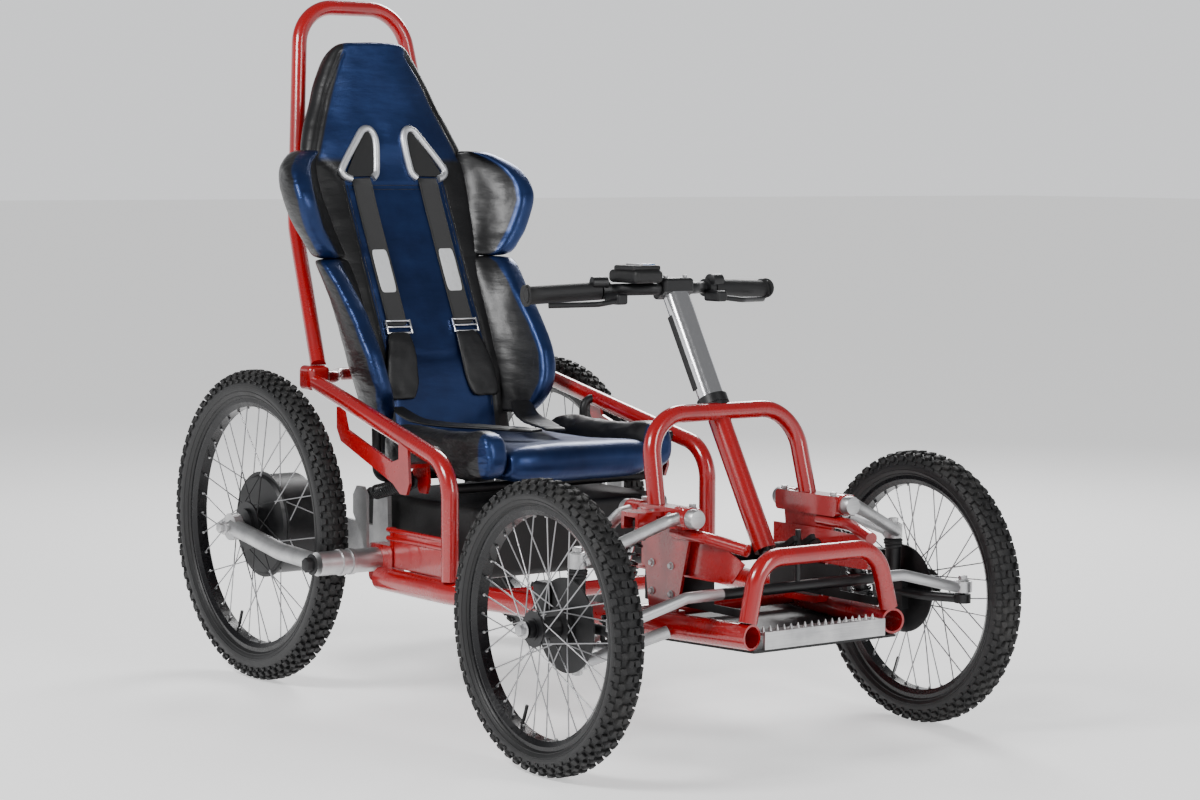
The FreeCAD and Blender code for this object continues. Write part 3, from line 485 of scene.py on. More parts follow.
def make_tyre(wheel):
    """Carcass with side wall rings, and rows of tread knobs out to the rolling radius."""
    low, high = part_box("tyre_" + wheel)
    centre = (low + high) / 2
    radius = (high.z - low.z) / 2
    rim_low, rim_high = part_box("rim_" + wheel)
    bead = (rim_high.z - rim_low.z) / 2 - RIM_SEAT
    crown = radius - KNOB_HEIGHT
    middle = (crown + bead) / 2
    half = (crown - bead) / 2
    clear()
    bpy.ops.mesh.primitive_torus_add(major_segments=144, minor_segments=28,
                                     major_radius=middle, minor_radius=half,
                                     rotation=(0, math.pi / 2, 0))
    carcass = settled()
    turned(carcass, Matrix.Diagonal((TYRE_HALF / half, 1, 1, 1)))
    parts = [carcass]
    for side in (-1, 1):
        for share, thick in ((0.42, 0.0009), (-0.3, 0.0011), (-0.62, 0.0014)):
            clear()
            x = side * (TYRE_HALF * math.sqrt(1 - share * share) - 0.0002)
            bpy.ops.mesh.primitive_torus_add(major_segments=120, minor_segments=6,
                                             major_radius=middle + half * share,
                                             minor_radius=thick, location=(x, 0, 0),
                                             rotation=(0, math.pi / 2, 0))
            parts.append(settled())
    top = crown + KNOB_HEIGHT / 2 - 0.0012
    tall = KNOB_HEIGHT + 0.0022
    step = KNOB_PITCH / radius
    first = [knob(side * 0.0062, top, 0.0, (0.0098, 0.0125, tall), side * 0.2)
             for side in (-1, 1)]
    second = [knob(side * 0.0165, top - 0.003, side * 0.42, (0.0095, 0.0115, tall), side * -0.3)
              for side in (-1, 1)]
    shoulder = [knob(side * 0.0238, top - 0.0106, side * 0.95, (0.0105, 0.012, tall), 0.0)
                for side in (-1, 1)]
    flank = [knob(side * 0.0268, top - 0.0182, side * 1.3, (0.0065, 0.0085, 0.0045), 0.0)
             for side in (-1, 1)]
    for piece in second + flank:
        turned(piece, Matrix.Rotation(step / 2, 4, "X"))
    tread = joined("tread", first + second + shoulder + flank)
    ring_of(tread, (0, 0, 0), round(2 * math.pi / step))
    tyre = joined("tread_tyre_" + wheel, parts + [tread])
    turned(tyre, Matrix.Translation(centre))
    body = "wheel_" + wheel
    material = tyre_rubber("tyre_rubber_" + wheel, centre, radius)
    finished(tyre, body, material, 40.0)
    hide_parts("tyre_" + wheel)
    finish_node("tyre_" + wheel, material)
    return centre, radius, bead


def make_rim_fittings(wheel, centre, bead):
    """Spoke nipples round the rim well, and the valve stem."""
    body = "wheel_" + wheel
    count = 36
    nipple = turning([(0.0016, 0), (0.0026, 0.0008), (0.0026, 0.0035), (0.0019, 0.005),
                      (0.0019, 0.012), (0.0014, 0.0125)], 10)
    reach = bead - 0.0155
    turned(nipple, Matrix.Translation((0, 0, reach)))
    ring_of(nipple, (0, 0, 0), count)
    nipples = turned(joined("nipples_" + wheel, [nipple]), Matrix.Translation(centre))
    finished(nipples, body, SILVER)
    stem = turning([(0.0022, 0), (0.0032, 0.001), (0.0032, 0.03), (0.0026, 0.031),
                    (0.0026, 0.036), (0.0031, 0.037), (0.0031, 0.045), (0.002, 0.046)], 14)
    turned(stem, Matrix.Translation((0, 0, bead - 0.052)))
    turned(stem, Matrix.Translation(centre) @ Matrix.Rotation(math.radians(201), 4, "X"))
    finished(joined("valve_" + wheel, [stem]), body, BLACK)


def make_hub_cap(wheel, centre):
    """Ring of cover screws and a ribbed ring on the outer face of a rear wheel's hub."""
    side = SIDES[wheel.split("_")[1]]
    low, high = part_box("spoked_hub_" + wheel)
    rear = wheel.startswith("rear")
    if rear:
        face = low.x if side > 0 else high.x
        screw = hex_bolt((0, 0, 0.078), (0, 0, 1), 0.0075)
        turned(screw, Matrix.Translation((0, 0, -0.078)))
        turned(screw, facing((-side, 0, 0)))
        turned(screw, Matrix.Translation((0, 0, 0.086)))
        ring_of(screw, (0, 0, 0), 10)
        turned(screw, Matrix.Translation((face, centre.y, centre.z)))
        whole = joined("motor_screws_" + wheel, [screw])
        finished(whole, "wheel_" + wheel, SILVER)
        ribs = turning([(0.052, 0), (0.062, 0.0018), (0.07, 0.0018), (0.073, 0)], 64)
        turned(ribs, Matrix.Translation((face, centre.y, centre.z)) @ facing((-side, 0, 0)))
        finished(joined("motor_face_" + wheel, [ribs]), "wheel_" + wheel, BLACK)


for wheel_name in WHEELS:
    wheel_centre, wheel_radius, bead_radius = make_tyre(wheel_name)
    make_rim_fittings(wheel_name, wheel_centre, bead_radius)
    make_hub_cap(wheel_name, wheel_centre)
    rear_wheel = wheel_name.startswith("rear")
    finish_node("spoked_hub_" + wheel_name,
                hub_metal("hub_" + wheel_name, wheel_centre, 0.108 if rear_wheel else 0.033,
                          0.0 if rear_wheel else 0.086))


# ---------------------------------------------------------------- seat

BACK_LINE = [(0.355, 0.440), (0.368, 0.500), (0.394, 0.620), (0.434, 0.712), (0.506, 0.860),
             (0.564, 0.985), (0.609, 1.107), (0.632, 1.190), (0.656, 1.282)]
VOXEL = 0.006
CLOTH_FRAMES = 20
CLOTH_PRESSURE = 4.0


def back_y(z):
    """Y of the seat back's front face at a height."""
    for (y0, z0), (y1, z1) in zip(BACK_LINE, BACK_LINE[1:]):
        if z <= z1:
            return y0 + (y1 - y0) * (z - z0) / (z1 - z0)
    return BACK_LINE[-1][0]


def blown(piece, cap):
    """Fills a closed cover with cloth pressure; no point moves further than cap."""
    start = [vertex.co.copy() for vertex in piece.data.vertices]
    hold(piece)
    cloth = piece.modifiers.new("cloth", "CLOTH")
    cloth.settings.quality = 4
    cloth.settings.use_pressure = True
    cloth.settings.uniform_pressure_force = CLOTH_PRESSURE
    cloth.settings.effector_weights.gravity = 0.0
    cloth.settings.tension_stiffness = 12
    cloth.settings.bending_stiffness = 0.4
    cloth.point_cache.frame_end = CLOTH_FRAMES
    for number in range(1, CLOTH_FRAMES + 1):
        bpy.context.scene.frame_set(number)
    bpy.ops.object.modifier_apply(modifier=cloth.name)
    bpy.context.scene.frame_set(1)
    for vertex, origin in zip(piece.data.vertices, start):
        move = vertex.co - origin
        if move.length > cap:
            vertex.co = origin + move * (cap / move.length)


def upholstered(name, node, cap, shrink=0.003, rounding=8, voxel=VOXEL):
    """Cover of a plain seat block: welded, remeshed, eased at its edges and blown up."""
    mesh = nodes[node].data.copy()
    piece = bpy.data.objects.new(name, mesh)
    bpy.context.scene.collection.objects.link(piece)
    modified(piece, "WELD", merge_threshold=0.00005)
    modified(piece, "REMESH", mode="VOXEL", voxel_size=voxel)
    modified(piece, "SMOOTH", factor=0.5, iterations=rounding)
    if shrink:
        modified(piece, "DISPLACE", strength=-shrink, mid_level=0.0)
    if cap:
        blown(piece, cap)
    modified(piece, "SMOOTH", factor=0.5, iterations=2)
    return piece


def gap_to_line(x, z, line):
    """Distance in the front view from a point to a run of seam points."""
    nearest = 9.0
    spot = Vector((x, z))
    for (x0, z0), (x1, z1) in zip(line, line[1:]):
        start = Vector((x0, z0))
        run = Vector((x1, z1)) - start
        share = max(0.0, min(1.0, (spot - start).dot(run) / run.length_squared))
        nearest = min(nearest, (spot - start - run * share).length)
    return nearest


def sew(piece, seams, depth, width, facing_way=Vector((0, -1, 0))):
    """Presses sewn channels into the side of a cover that faces a given way."""
    piece.data.update()
    moves = []
    for vertex in piece.data.vertices:
        if vertex.normal.dot(facing_way) < 0.15:
            continue
        gap = min(gap_to_line(vertex.co.x, vertex.co.z, seam) for seam in seams)
        if gap < 3 * width:
            moves.append((vertex, depth * math.exp(-((gap / width) ** 2))))
    for vertex, depth_here in moves:
        vertex.co -= vertex.normal * depth_here


def lofted(name, rings):
    """Closed skin through rings of equal point count, with both ends filled."""
    around = len(rings[0])
    clear()
    bpy.ops.mesh.primitive_grid_add(x_subdivisions=around, y_subdivisions=len(rings) - 1, size=1)
    piece = bpy.context.object
    piece.name = name
    for number, ring in enumerate(rings):
        for column in range(around + 1):
            vertex = piece.data.vertices[number * (around + 1) + column]
            vertex.co = Vector(ring[column % around])
    modified(piece, "WELD", merge_threshold=0.00001)
    bpy.ops.object.mode_set(mode="EDIT")
    bpy.ops.mesh.select_all(action="DESELECT")
    bpy.ops.mesh.select_non_manifold()
    bpy.ops.mesh.fill_holes(sides=0)
    bpy.ops.mesh.select_all(action="SELECT")
    bpy.ops.mesh.normals_make_consistent(inside=False)
    bpy.ops.object.mode_set(mode="OBJECT")
    return piece


def along_table(table, z):
    """Value at a height, eased between the rows of a (height, value) table."""
    if z <= table[0][0]:
        return table[0][1]
    for (z0, v0), (z1, v1) in zip(table, table[1:]):
        if z <= z1:
            share = (z - z0) / (z1 - z0)
            return v0 + (v1 - v0) * share * share * (3 - 2 * share) * 0.4 + (v1 - v0) * share * 0.6
    return table[-1][1]


def both_sides(line):
    return [line, [(-x, z) for x, z in line]]


def ruffle(piece, scale, strength, name):
    """Soft creases: a stretched cloud pushes the surface in and out."""
    cloud = bpy.data.textures.new(name, "CLOUDS")
    cloud.noise_scale = scale
    cloud.noise_depth = 3
    modified(piece, "DISPLACE", texture=cloud, texture_coords="LOCAL", strength=strength,
             mid_level=0.5)


BLUE_DEEP = (0.008, 0.020, 0.075)
BLUE_SHEEN = (0.016, 0.042, 0.145)
HIDE_DEEP = (0.003, 0.003, 0.0035)
HIDE_RUB = (0.008, 0.008, 0.009)


def two_tone_hide(name, blue_share, wrinkle=0.0, lay=(1.0, 1.0, 3.5)):
    """Metallic blue and plain black leatherette, parted by a mask built on the net."""
    net = Net(name)
    blue = blue_share(net)
    warp = net.noise(26.0, 3.0)
    tone = net.noise(5.5, 3.0)
    rub = (tone * 0.7 + warp * 0.3).step(0.2, 0.85)
    pebble = net.cells(950.0, feature="SMOOTH_F1")
    folds = net.noise(8.0, 4.0, net.stretch(*lay), 0.55)
    across = net.axis(0)
    turned_out = net.axis(0, net.add("ShaderNodeNewGeometry", {}, output=1))
    sided = net.add("ShaderNodeMath", {"operation": "SIGN"}, across) * turned_out
    pleats = net.noise(30.0, 2.5, net.stretch(1.0, 0.8, 2.6), 0.5) * sided.step(0.1, 0.6)
    ground = net.bump(pebble, 0.2, 0.0003)
    soft = net.bump(folds, 0.16, 0.012, ground)
    net.set(Base_Color=net.mix(blue, net.mix(rub, HIDE_DEEP, HIDE_RUB),
                               net.mix(rub, BLUE_DEEP, BLUE_SHEEN)),
            Metallic=blue * 0.75, Roughness=warp * 0.1 + 0.34 - blue * 0.02,
            Coat_Weight=blue * 0.1 + 0.08, Coat_Roughness=0.25,
            Normal=net.bump(pleats, wrinkle, 0.008, soft) if wrinkle else soft)
    return net.material


def back_blue(net):
    """Blue centre panel and head face; black flanks beside the shoulders and head edges."""
    across = net.add("ShaderNodeMath", {"operation": "ABSOLUTE"}, net.axis(0))
    up = net.axis(2)
    centre = 1 - across.step(0.118, 0.122)
    head = up.step(1.035, 1.05)
    edge_here = (1.273 - up) * 0.42 + 0.072
    head_face = 1 - (across - edge_here).step(-0.002, 0.004)
    front = (net.axis(1) * -1 + (up - 0.985) * 0.40 + 0.60).step(0.0, 0.006)
    return (centre * (1 - head) + head_face * head) * front


def edge_blue(low_x, high_x, front_line):
    """Blue on the front edge band of a side piece, black on its flat sides."""
    def share(net):
        across = net.add("ShaderNodeMath", {"operation": "ABSOLUTE"}, net.axis(0))
        front = (front_line(net) - net.axis(1)).step(-0.002, 0.004)
        inside = across.step(low_x - 0.003, low_x + 0.003)
        outside = 1 - across.step(high_x - 0.003, high_x + 0.003)
        return front * inside * outside
    return share


def all_blue(net):
    return 1.0


BACK_HALF = [(0.44, 0.164), (0.80, 0.167), (0.90, 0.188), (1.00, 0.201), (1.05, 0.197),
             (1.10, 0.177), (1.18, 0.143), (1.24, 0.113), (1.272, 0.092), (1.287, 0.066)]
BACK_DEPTH = [(0.44, 0.031), (0.90, 0.032), (1.00, 0.036), (1.18, 0.040), (1.25, 0.034),
              (1.287, 0.016)]
RING_POINTS = 28


def back_ring(z):
    """Rounded slice of the back at a height, hollowed a little for the rider's spine."""
    half = along_table(BACK_HALF, z)
    depth = along_table(BACK_DEPTH, z)
    middle = back_y(z) + depth
    ring = []
    for number in range(RING_POINTS):
        turn = 2 * math.pi * number / RING_POINTS
        c, s = math.cos(turn), math.sin(turn)
        x = half * math.copysign(abs(c) ** 0.62, c)
        y = depth * math.copysign(abs(s) ** 0.72, s)
        hollow = 0.010 * (1 - (x / half) ** 2) if s < 0 and z < 1.05 else 0.0
        ring.append((x, middle + y + hollow, z))
    return ring


def make_back():
    heights = [0.44 + 0.03 * number for number in range(27)]
    heights += [1.245, 1.262, 1.276, 1.287]
    back = lofted("cover_back", [back_ring(z) for z in heights])
    modified(back, "SUBSURF", levels=2, render_levels=2)
    head_seam = [(0.176, 1.052), (0.122, 1.185), (0.078, 1.262)]
    side_seam = [(0.120, 0.470), (0.120, 0.780), (0.114, 0.900), (0.122, 1.000), (0.176, 1.052)]
    seams = both_sides(head_seam) + both_sides(side_seam)
    seams += [[(-0.118, 0.985), (0.118, 0.985)], [(-0.120, 0.655), (0.0, 0.640), (0.120, 0.655)]]
    seams += [[(-0.010, 1.055), (-0.018, 1.105), (-0.006, 1.135)]]
    sew(back, seams, 0.0034, 0.0040)
    ruffle(back, 0.11, 0.005, "back_creases")
    material = two_tone_hide("hide_back", back_blue)
    finished(back, "chassis", material, 80)
    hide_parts("seat_back")
    finish_node("seat_back", material)
    return back


WAIST_FRONT = [(0.520, 0.340), (0.550, 0.306), (0.590, 0.292), (0.650, 0.308), (0.710, 0.350),
               (0.790, 0.420), (0.832, 0.464), (0.844, 0.488)]
WAIST_OUT = [(0.520, 0.188), (0.550, 0.206), (0.620, 0.226), (0.680, 0.230), (0.760, 0.228),
             (0.832, 0.236), (0.844, 0.230)]
WING_FRONT = [(0.841, 0.490), (0.852, 0.476), (0.880, 0.474), (0.960, 0.470), (1.000, 0.488),
              (1.035, 0.522), (1.058, 0.556), (1.070, 0.580)]
WING_OUT = [(0.841, 0.230), (0.860, 0.246), (0.900, 0.270), (0.950, 0.289), (0.990, 0.293),
            (1.025, 0.282), (1.050, 0.250), (1.070, 0.205)]


def side_ring(z, front, out, edge):
    """Slice of a side bolster: root on the back, hollow inner face, rounded front edge."""
    y_front = along_table(front, z)
    x_out = along_table(out, z)
    x_root = along_table(BACK_HALF, z) - 0.026
    y_root = back_y(z) + 0.012
    y_rear = back_y(z) + 0.058
    x_in = x_out - edge
    dished = 0.010
    return [(x_root, y_root, z),
            (x_root + (x_in - x_root) * 0.42 + dished * 0.6, y_root + (y_front - y_root) * 0.30, z),
            (x_root + (x_in - x_root) * 0.80 + dished * 0.5, y_root + (y_front - y_root) * 0.68, z),
            (x_in, y_front + 0.006, z), (x_in + edge * 0.25, y_front - 0.001, z),
            (x_in + edge * 0.75, y_front, z), (x_out, y_front + 0.009, z),
            (x_out + 0.001, y_front + (y_rear - y_front) * 0.4, z),
            (x_out - (x_out - x_root) * 0.16, y_front + (y_rear - y_front) * 0.78, z),
            (x_root + (x_out - x_root) * 0.45, y_rear, z), (x_root, y_rear, z)]


def side_pair(name, heights, front, out, edge, creases):
    """Both bolsters of one height band, smoothed, creased and kept apart from their twins."""
    left = lofted(name, [side_ring(z, front, out, edge) for z in heights])
    modified(left, "SUBSURF", levels=3, render_levels=3)
    whole = joined(name, [left] + mirror_twins([left]))
    ruffle(whole, 0.055, creases, name + "_creases")
    return whole


def edge_line(table):
    """Front edge of a bolster as a function of height, for a colour mask."""
    def line(net):
        ramp = net.add("ShaderNodeValToRGB", {}, net.axis(2))
        stops = ramp.socket.node.color_ramp.elements
        for number, (z, y) in enumerate(table):
            stop = stops[number] if number < 2 else stops.new(z / 2)
            stop.position = z / 2
            stop.color = (y, y, y, 1)
        net.feed(ramp.socket.node.inputs[0], net.axis(2) * 0.5)
        return ramp
    return line


def make_wings():
    heights = [0.841, 0.855, 0.875, 0.90, 0.93, 0.96, 0.985, 1.01, 1.03, 1.048, 1.062]
    wings = side_pair("cover_wings", heights, WING_FRONT, WING_OUT, 0.044, 0.0035)
    line = edge_line([(z, y + 0.014) for z, y in WING_FRONT])
    material = two_tone_hide("hide_wings", edge_blue(0.10, 0.40, line), 0.5)
    finished(wings, "chassis", material, 80)
    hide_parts("shoulder_wings")
    finish_node("shoulder_wings", material)


def make_waist():
    heights = [0.522, 0.535, 0.555, 0.585, 0.62, 0.66, 0.70, 0.74, 0.78, 0.81, 0.832, 0.8425]
    waist = side_pair("cover_waist", heights, WAIST_FRONT, WAIST_OUT, 0.040, 0.0035)
    line = edge_line([(z, y + 0.016) for z, y in WAIST_FRONT])
    material = two_tone_hide("hide_waist", edge_blue(0.10, 0.40, line), 0.5)
    finished(waist, "chassis", material, 80)
    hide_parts("waist_bolsters")
    finish_node("waist_bolsters", material)


def cushion_ring(x, low, high):
    """Side outline of the cushion at one place across it, with its thick front roll."""
    ease = max(0.0, 1 - (abs(x) / high.x) ** 6) ** 0.5
    middle = (low.z + high.z) / 2
    half = (high.z - low.z) / 2 * (0.35 + 0.65 * ease)
    nose = low.y + 0.004 + 0.03 * (1 - ease)
    roll = half
    ring = []
    for number in range(9):
        turn = math.radians(-90 - 22.5 * number)
        ring.append((x, nose + roll + roll * math.cos(turn), middle + roll * math.sin(turn)))
    top = middle + half
    dip = 0.010 * ease
    for share in (0.15, 0.35, 0.6, 0.85):
        y = nose + roll + (0.352 - nose - roll) * share
        ring.append((x, y, top - dip * math.sin(math.pi * share)))
    ring.append((x, 0.362, top - 0.004))
    ring.append((x, 0.350, low.z + 0.012))
    for share in (0.8, 0.5, 0.2):
        ring.append((x, nose + roll + (0.35 - nose - roll) * share, middle - half))
    return ring


def make_cushion():
    low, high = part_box("seat_cushion")
    places = [high.x * share for share in (-0.995, -0.96, -0.88, -0.72, -0.45, -0.15, 0.15,
                                           0.45, 0.72, 0.88, 0.96, 0.995)]
    cushion = lofted("cover_cushion", [cushion_ring(x, low, high) for x in places])
    modified(cushion, "SUBSURF", levels=3, render_levels=3)
    ruffle(cushion, 0.12, 0.004, "cushion_creases")
    material = two_tone_hide("hide_cushion", all_blue, 0.0, (3.0, 1.0, 1.0))
    finished(cushion, "chassis", material, 80)
    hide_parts("seat_cushion")
    finish_node("seat_cushion", material)


def make_thigh_rolls():
    rolls = upholstered("cover_thigh_rolls", "thigh_bolsters", 0.008, 0.0, 6)
    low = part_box("thigh_bolsters")[0]
    ruffle(rolls, 0.03, 0.004, "roll_creases")

    def nose(net):
        return 1 - net.axis(1).step(low.y + 0.030, low.y + 0.036)

    material = two_tone_hide("hide_thigh_rolls", nose, 0.8)
    finished(rolls, "chassis", material, 80)
    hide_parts("thigh_bolsters")
    finish_node("thigh_bolsters", material)


def on_cover(cover, x, z, lift):
    """Point just in front of a cover, found by looking straight back at it."""
    hit, place = cover.ray_cast(Vector((x, -1.0, z)), Vector((0, 1, 0)))[:2]
    y = place.y if hit else back_y(z)
    return Vector((x, y - lift, z))


def make_piping(back):
    """Raised double stitching beside the seams of the back."""
    head_seam = [(0.176, 1.052), (0.15, 1.118), (0.122, 1.185), (0.102, 1.225), (0.078, 1.262)]
    side_seam = [(0.120, z / 100) for z in range(54, 101, 3)]
    seams = both_sides(head_seam) + both_sides(side_seam)
    seams.append([(x / 100, 0.985) for x in range(-11, 12, 2)])
    cords = []
    for seam in seams:
        for shift in (-0.0042, 0.0042):
            flat = abs(seam[0][1] - seam[-1][1]) < 0.01
            points = [on_cover(back, x + (0 if flat else shift), z + (shift if flat else 0),
                               -0.0002) for x, z in seam]
            cords.append(wire("stitch_line", points, 0.0007, 1))
    whole = joined("back_stitching", cords)
    finished(whole, "chassis", BLACK_HIDE, 60)


# ---------------------------------------------------------------- harness

def ribbon(name, points, width, thick, across=(1, 0, 0), columns=4):
    """Flat strip through centre points, crowned a little across its width."""
    clear()
    bpy.ops.mesh.primitive_grid_add(x_subdivisions=columns, y_subdivisions=len(points) - 1,
                                    size=1)
    piece = bpy.context.object
    piece.name = name
    side = Vector(across).normalized()
    widths = width if isinstance(width, list) else [width] * len(points)
    row = columns + 1
    for number, place in enumerate(points):
        for column in range(row):
            share = column / columns - 0.5
            spot = Vector(place) + side * share * widths[number]
            piece.data.vertices[number * row + column].co = spot
    modified(piece, "SOLIDIFY", thickness=thick, offset=0.0)
    modified(piece, "SUBSURF", levels=2, render_levels=2)
    return piece


def make_harness(back):
    """Webbing edges, blank label patches, slide adjusters, chest pads and lap belts."""
    straps = []
    for side in (-1, 1):
        points = [on_cover(back, side * 0.081, z / 1000, 0.0025) for z in range(706, 1012, 17)]
        points.append(on_cover(back, side * 0.081, 1.016, -0.006))
        straps.append(ribbon("strap", points, 0.047, 0.0022))
        for edge in (-0.0215, 0.0215):
            run = [place + Vector((edge, -0.0016, 0)) for place in points]
            straps.append(wire("selvedge", run, 0.0009, 1))
    whole = joined("shoulder_straps", straps)
    finished(whole, "chassis", WEBBING, 60)
    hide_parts("harness_straps")
    patches = []
    for x in (-0.081, 0.081):
        points = [on_cover(back, x, z, 0.0042) for z in (0.772, 0.80, 0.83, 0.86)]
        patches.append(ribbon("label_patch", points, 0.037, 0.0012))
    finished(joined("label_patches", patches), "chassis", LABEL, 50)
    frames = []
    for x in (-0.081, 0.081):
        for z in (0.716, 0.704, 0.692):
            y = on_cover(back, x, z, 0.006).y
            bar = block((0.060, 0.0045, 0.0042), 0.0016)
            frames.append(turned(bar, Matrix.Translation((x, y, z))))
        for side in (-1, 1):
            y = on_cover(back, x, 0.704, 0.006).y
            post = block((0.0045, 0.0055, 0.031), 0.0016)
            lean = Matrix.Rotation(math.radians(-23), 4, "X")
            frames.append(turned(post, Matrix.Translation((x + side * 0.0285, y, 0.704)) @ lean))
    finished(joined("slide_adjusters", frames), "chassis", BRIGHT, 40)
    pads = []
    for x, lean in ((-0.083, -0.012), (0.078, 0.014)):
        heights = [0.695, 0.67, 0.64, 0.61, 0.58, 0.56]
        points = [on_cover(back, x + lean * number / 3, z, 0.006 + 0.003 * math.sin(number * 1.3))
                  for number, z in enumerate(heights)]
        pads.append(ribbon("chest_pad", points, [0.052, 0.062, 0.072, 0.078, 0.074, 0.060], 0.007))
    whole = joined("harness_pads", pads)
    ruffle(whole, 0.03, 0.004, "pad_creases")
    finished(whole, "chassis", BLACK_HIDE, 70)
    belts = []
    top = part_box("seat_cushion")[1].z
    for side in (-1, 1):
        route = [(side * 0.150, 0.335, top + 0.045), (side * 0.138, 0.300, top + 0.020),
                 (side * 0.112, 0.235, top + 0.013), (side * 0.078, 0.165, top + 0.014),
                 (side * 0.055, 0.110, top + 0.0135), (side * 0.040, 0.070, top + 0.0125)]
        across = (0.92, -0.38 * side, 0.0)
        belts.append(ribbon("lap_belt", route, [0.046, 0.05, 0.058, 0.062, 0.05, 0.044], 0.006,
                            across))
    whole = joined("lap_belts", belts)
    ruffle(whole, 0.035, 0.004, "belt_creases")
    finished(whole, "chassis", BLACK_HIDE, 70)
    plates = []
    for side in (-1, 1):
        plate = block((0.040, 0.052, 0.006), 0.002)
        turn = Matrix.Rotation(side * math.radians(-22), 4, "Z")
        plates.append(turned(plate, Matrix.Translation((side * 0.032, 0.052, top + 0.013)) @ turn))
    finished(joined("belt_tongues", plates), "chassis", BLACK, 40)


def make_bezels(back):
    """Broad bright trim, open at the bottom, with a black liner behind each harness slot."""
    outline = [(-0.106, 1.002), (-0.117, 1.005), (-0.127, 1.014), (-0.125, 1.025),
               (-0.072, 1.092), (-0.062, 1.104), (-0.048, 1.107), (-0.038, 1.098),
               (-0.033, 1.080), (-0.041, 1.022), (-0.045, 1.010), (-0.054, 1.004)]
    trims = []
    liners = []
    for side in (1, -1):
        points = [on_cover(back, side * x, z, 0.004) for x, z in outline]
        trims.append(wire("slot_trim", points, 0.0078, 4))
        inner = [(-0.119, 1.007), (-0.047, 1.008), (-0.037, 1.092), (-0.060, 1.103)]
        clear()
        bpy.ops.mesh.primitive_plane_add(size=1)
        plate = bpy.context.object
        for vertex, (x, z) in zip(plate.data.vertices, (inner[0], inner[1], inner[3], inner[2])):
            vertex.co = on_cover(back, side * x, z, 0.0035)
        bpy.ops.object.mode_set(mode="EDIT")
        bpy.ops.mesh.subdivide(number_cuts=4)
        bpy.ops.object.mode_set(mode="OBJECT")
        modified(plate, "SOLIDIFY", thickness=0.004, offset=0.0)
        liners.append(plate)
    trim = joined("slot_trims", trims)
    finished(trim, "chassis", BRIGHT_TRIM, 60)
    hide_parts("harness_bezels")
    finished(joined("slot_liners", liners), "chassis", PLASTIC, 40)


seat_cover = make_back()
make_wings()
make_waist()
make_cushion()
make_thigh_rolls()
make_piping(seat_cover)
make_harness(seat_cover)
make_bezels(seat_cover)


# ---------------------------------------------------------------- springs, bolts and boots

REAR_SPRING = (Vector((-0.284, 0.062, 0.434)), Vector((-0.284, 0.215, 0.398)))
FRONT_SPRING = (Vector((-0.298, -0.574, 0.2253)), Vector((-0.226, -0.570, 0.418)))
KINGPIN_X = 0.360
FRONT_AXLE_Y = -0.575
PIVOT = Vector((0.0, 0.174, 0.276))


def along_line(piece, start, end):
    return turned(piece, Matrix.Translation(start) @ facing(end - start))


def spring_unit(start, end, radius, thick, turns):
    """Damper body, bright shaft, end eyes and a coil between its seats."""
    length = (end - start).length
    body = turning([(0.0085, 0.012), (0.012, 0.014), (0.012, length * 0.52),
                    (0.010, length * 0.54)], 28)
    shaft = turning([(0.005, length * 0.4), (0.005, length - 0.012)], 20)
    eyes = []
    for height in (0.0, length):
        clear()
        bpy.ops.mesh.primitive_torus_add(major_segments=32, minor_segments=12,
                                         major_radius=0.0085, minor_radius=0.0045,
                                         location=(0, 0, height), rotation=(0, math.pi / 2, 0))
        eyes.append(settled())
    seats = []
    for height in (0.022, length - 0.027):
        seats.append(turning([(radius * 0.6, height - 0.002), (radius + thick, height),
                              (radius + thick, height + 0.004),
                              (radius * 0.6, height + 0.006)], 36))
    low, high = 0.027 + thick, length - 0.029 - thick
    steps = turns * 16
    path = []
    for number in range(steps + 1):
        turn = 2 * math.pi * number / 16
        path.append((radius * math.cos(turn), radius * math.sin(turn),
                     low + (high - low) * number / steps))
    coil = wire("coil", path, thick, 3)
    dark = [along_line(piece, start, end) for piece in [body] + eyes + seats]
    return dark, along_line(coil, start, end), along_line(shaft, start, end)


def make_springs():
    for name, node, (start, end), radius, thick, turns in (
            ("front", "front_shocks", FRONT_SPRING, 0.0165, 0.0026, 9),
            ("rear", "rear_shocks", REAR_SPRING, 0.0128, 0.0019, 13)):
        dark, coil, shaft = spring_unit(start, end, radius, thick, turns)
        dark += mirror_twins(dark)
        coils = joined("coils_" + name, [coil] + mirror_twins([coil]))
        shafts = joined("damper_shafts_" + name, [shaft] + mirror_twins([shaft]))
        bodies_here = joined("dampers_" + name, dark)
        finished(bodies_here, "chassis", BLACK)
        finished(coils, "chassis", RIM)
        finished(shafts, "chassis", BRIGHT)
        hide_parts(node)


def bolts_piece(name, places, body, twins=True, material=None):
    """Bolts at (place, direction, size across flats), and their twins on the other side."""
    made = [hex_bolt(Vector(place), direction, across) for place, direction, across in places]
    if twins:
        made += mirror_twins(made)
    return finished(joined(name, made), body, material or SILVER, 40)


def make_bolts():
    frame_bolts = [((-0.190, y, 0.428), (-1, 0, 0), 0.013) for y in (-0.612, -0.524)]
    frame_bolts += [((-0.196, -0.568, 0.432), (-0.4, 0, 1), 0.011)]
    frame_bolts += [((x, y, 0.446), (0, 0, 1), 0.011) for x in (-0.160,)
                    for y in (-0.636, -0.500)]
    frame_bolts += [((-0.166, y, z), (-1, 0, 0), 0.009) for y in (-0.585, -0.530)
                    for z in (0.34, 0.29)]
    bolts_piece("bracket_bolts", frame_bolts, "chassis")
    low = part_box("rear_swingarms")[0]
    arm_bolts = [((low.x + 0.001, PIVOT.y, PIVOT.z), (-1, 0, 0), 0.026)]
    bolts_piece("swingarm_caps", arm_bolts, "chassis", material=BLACK)


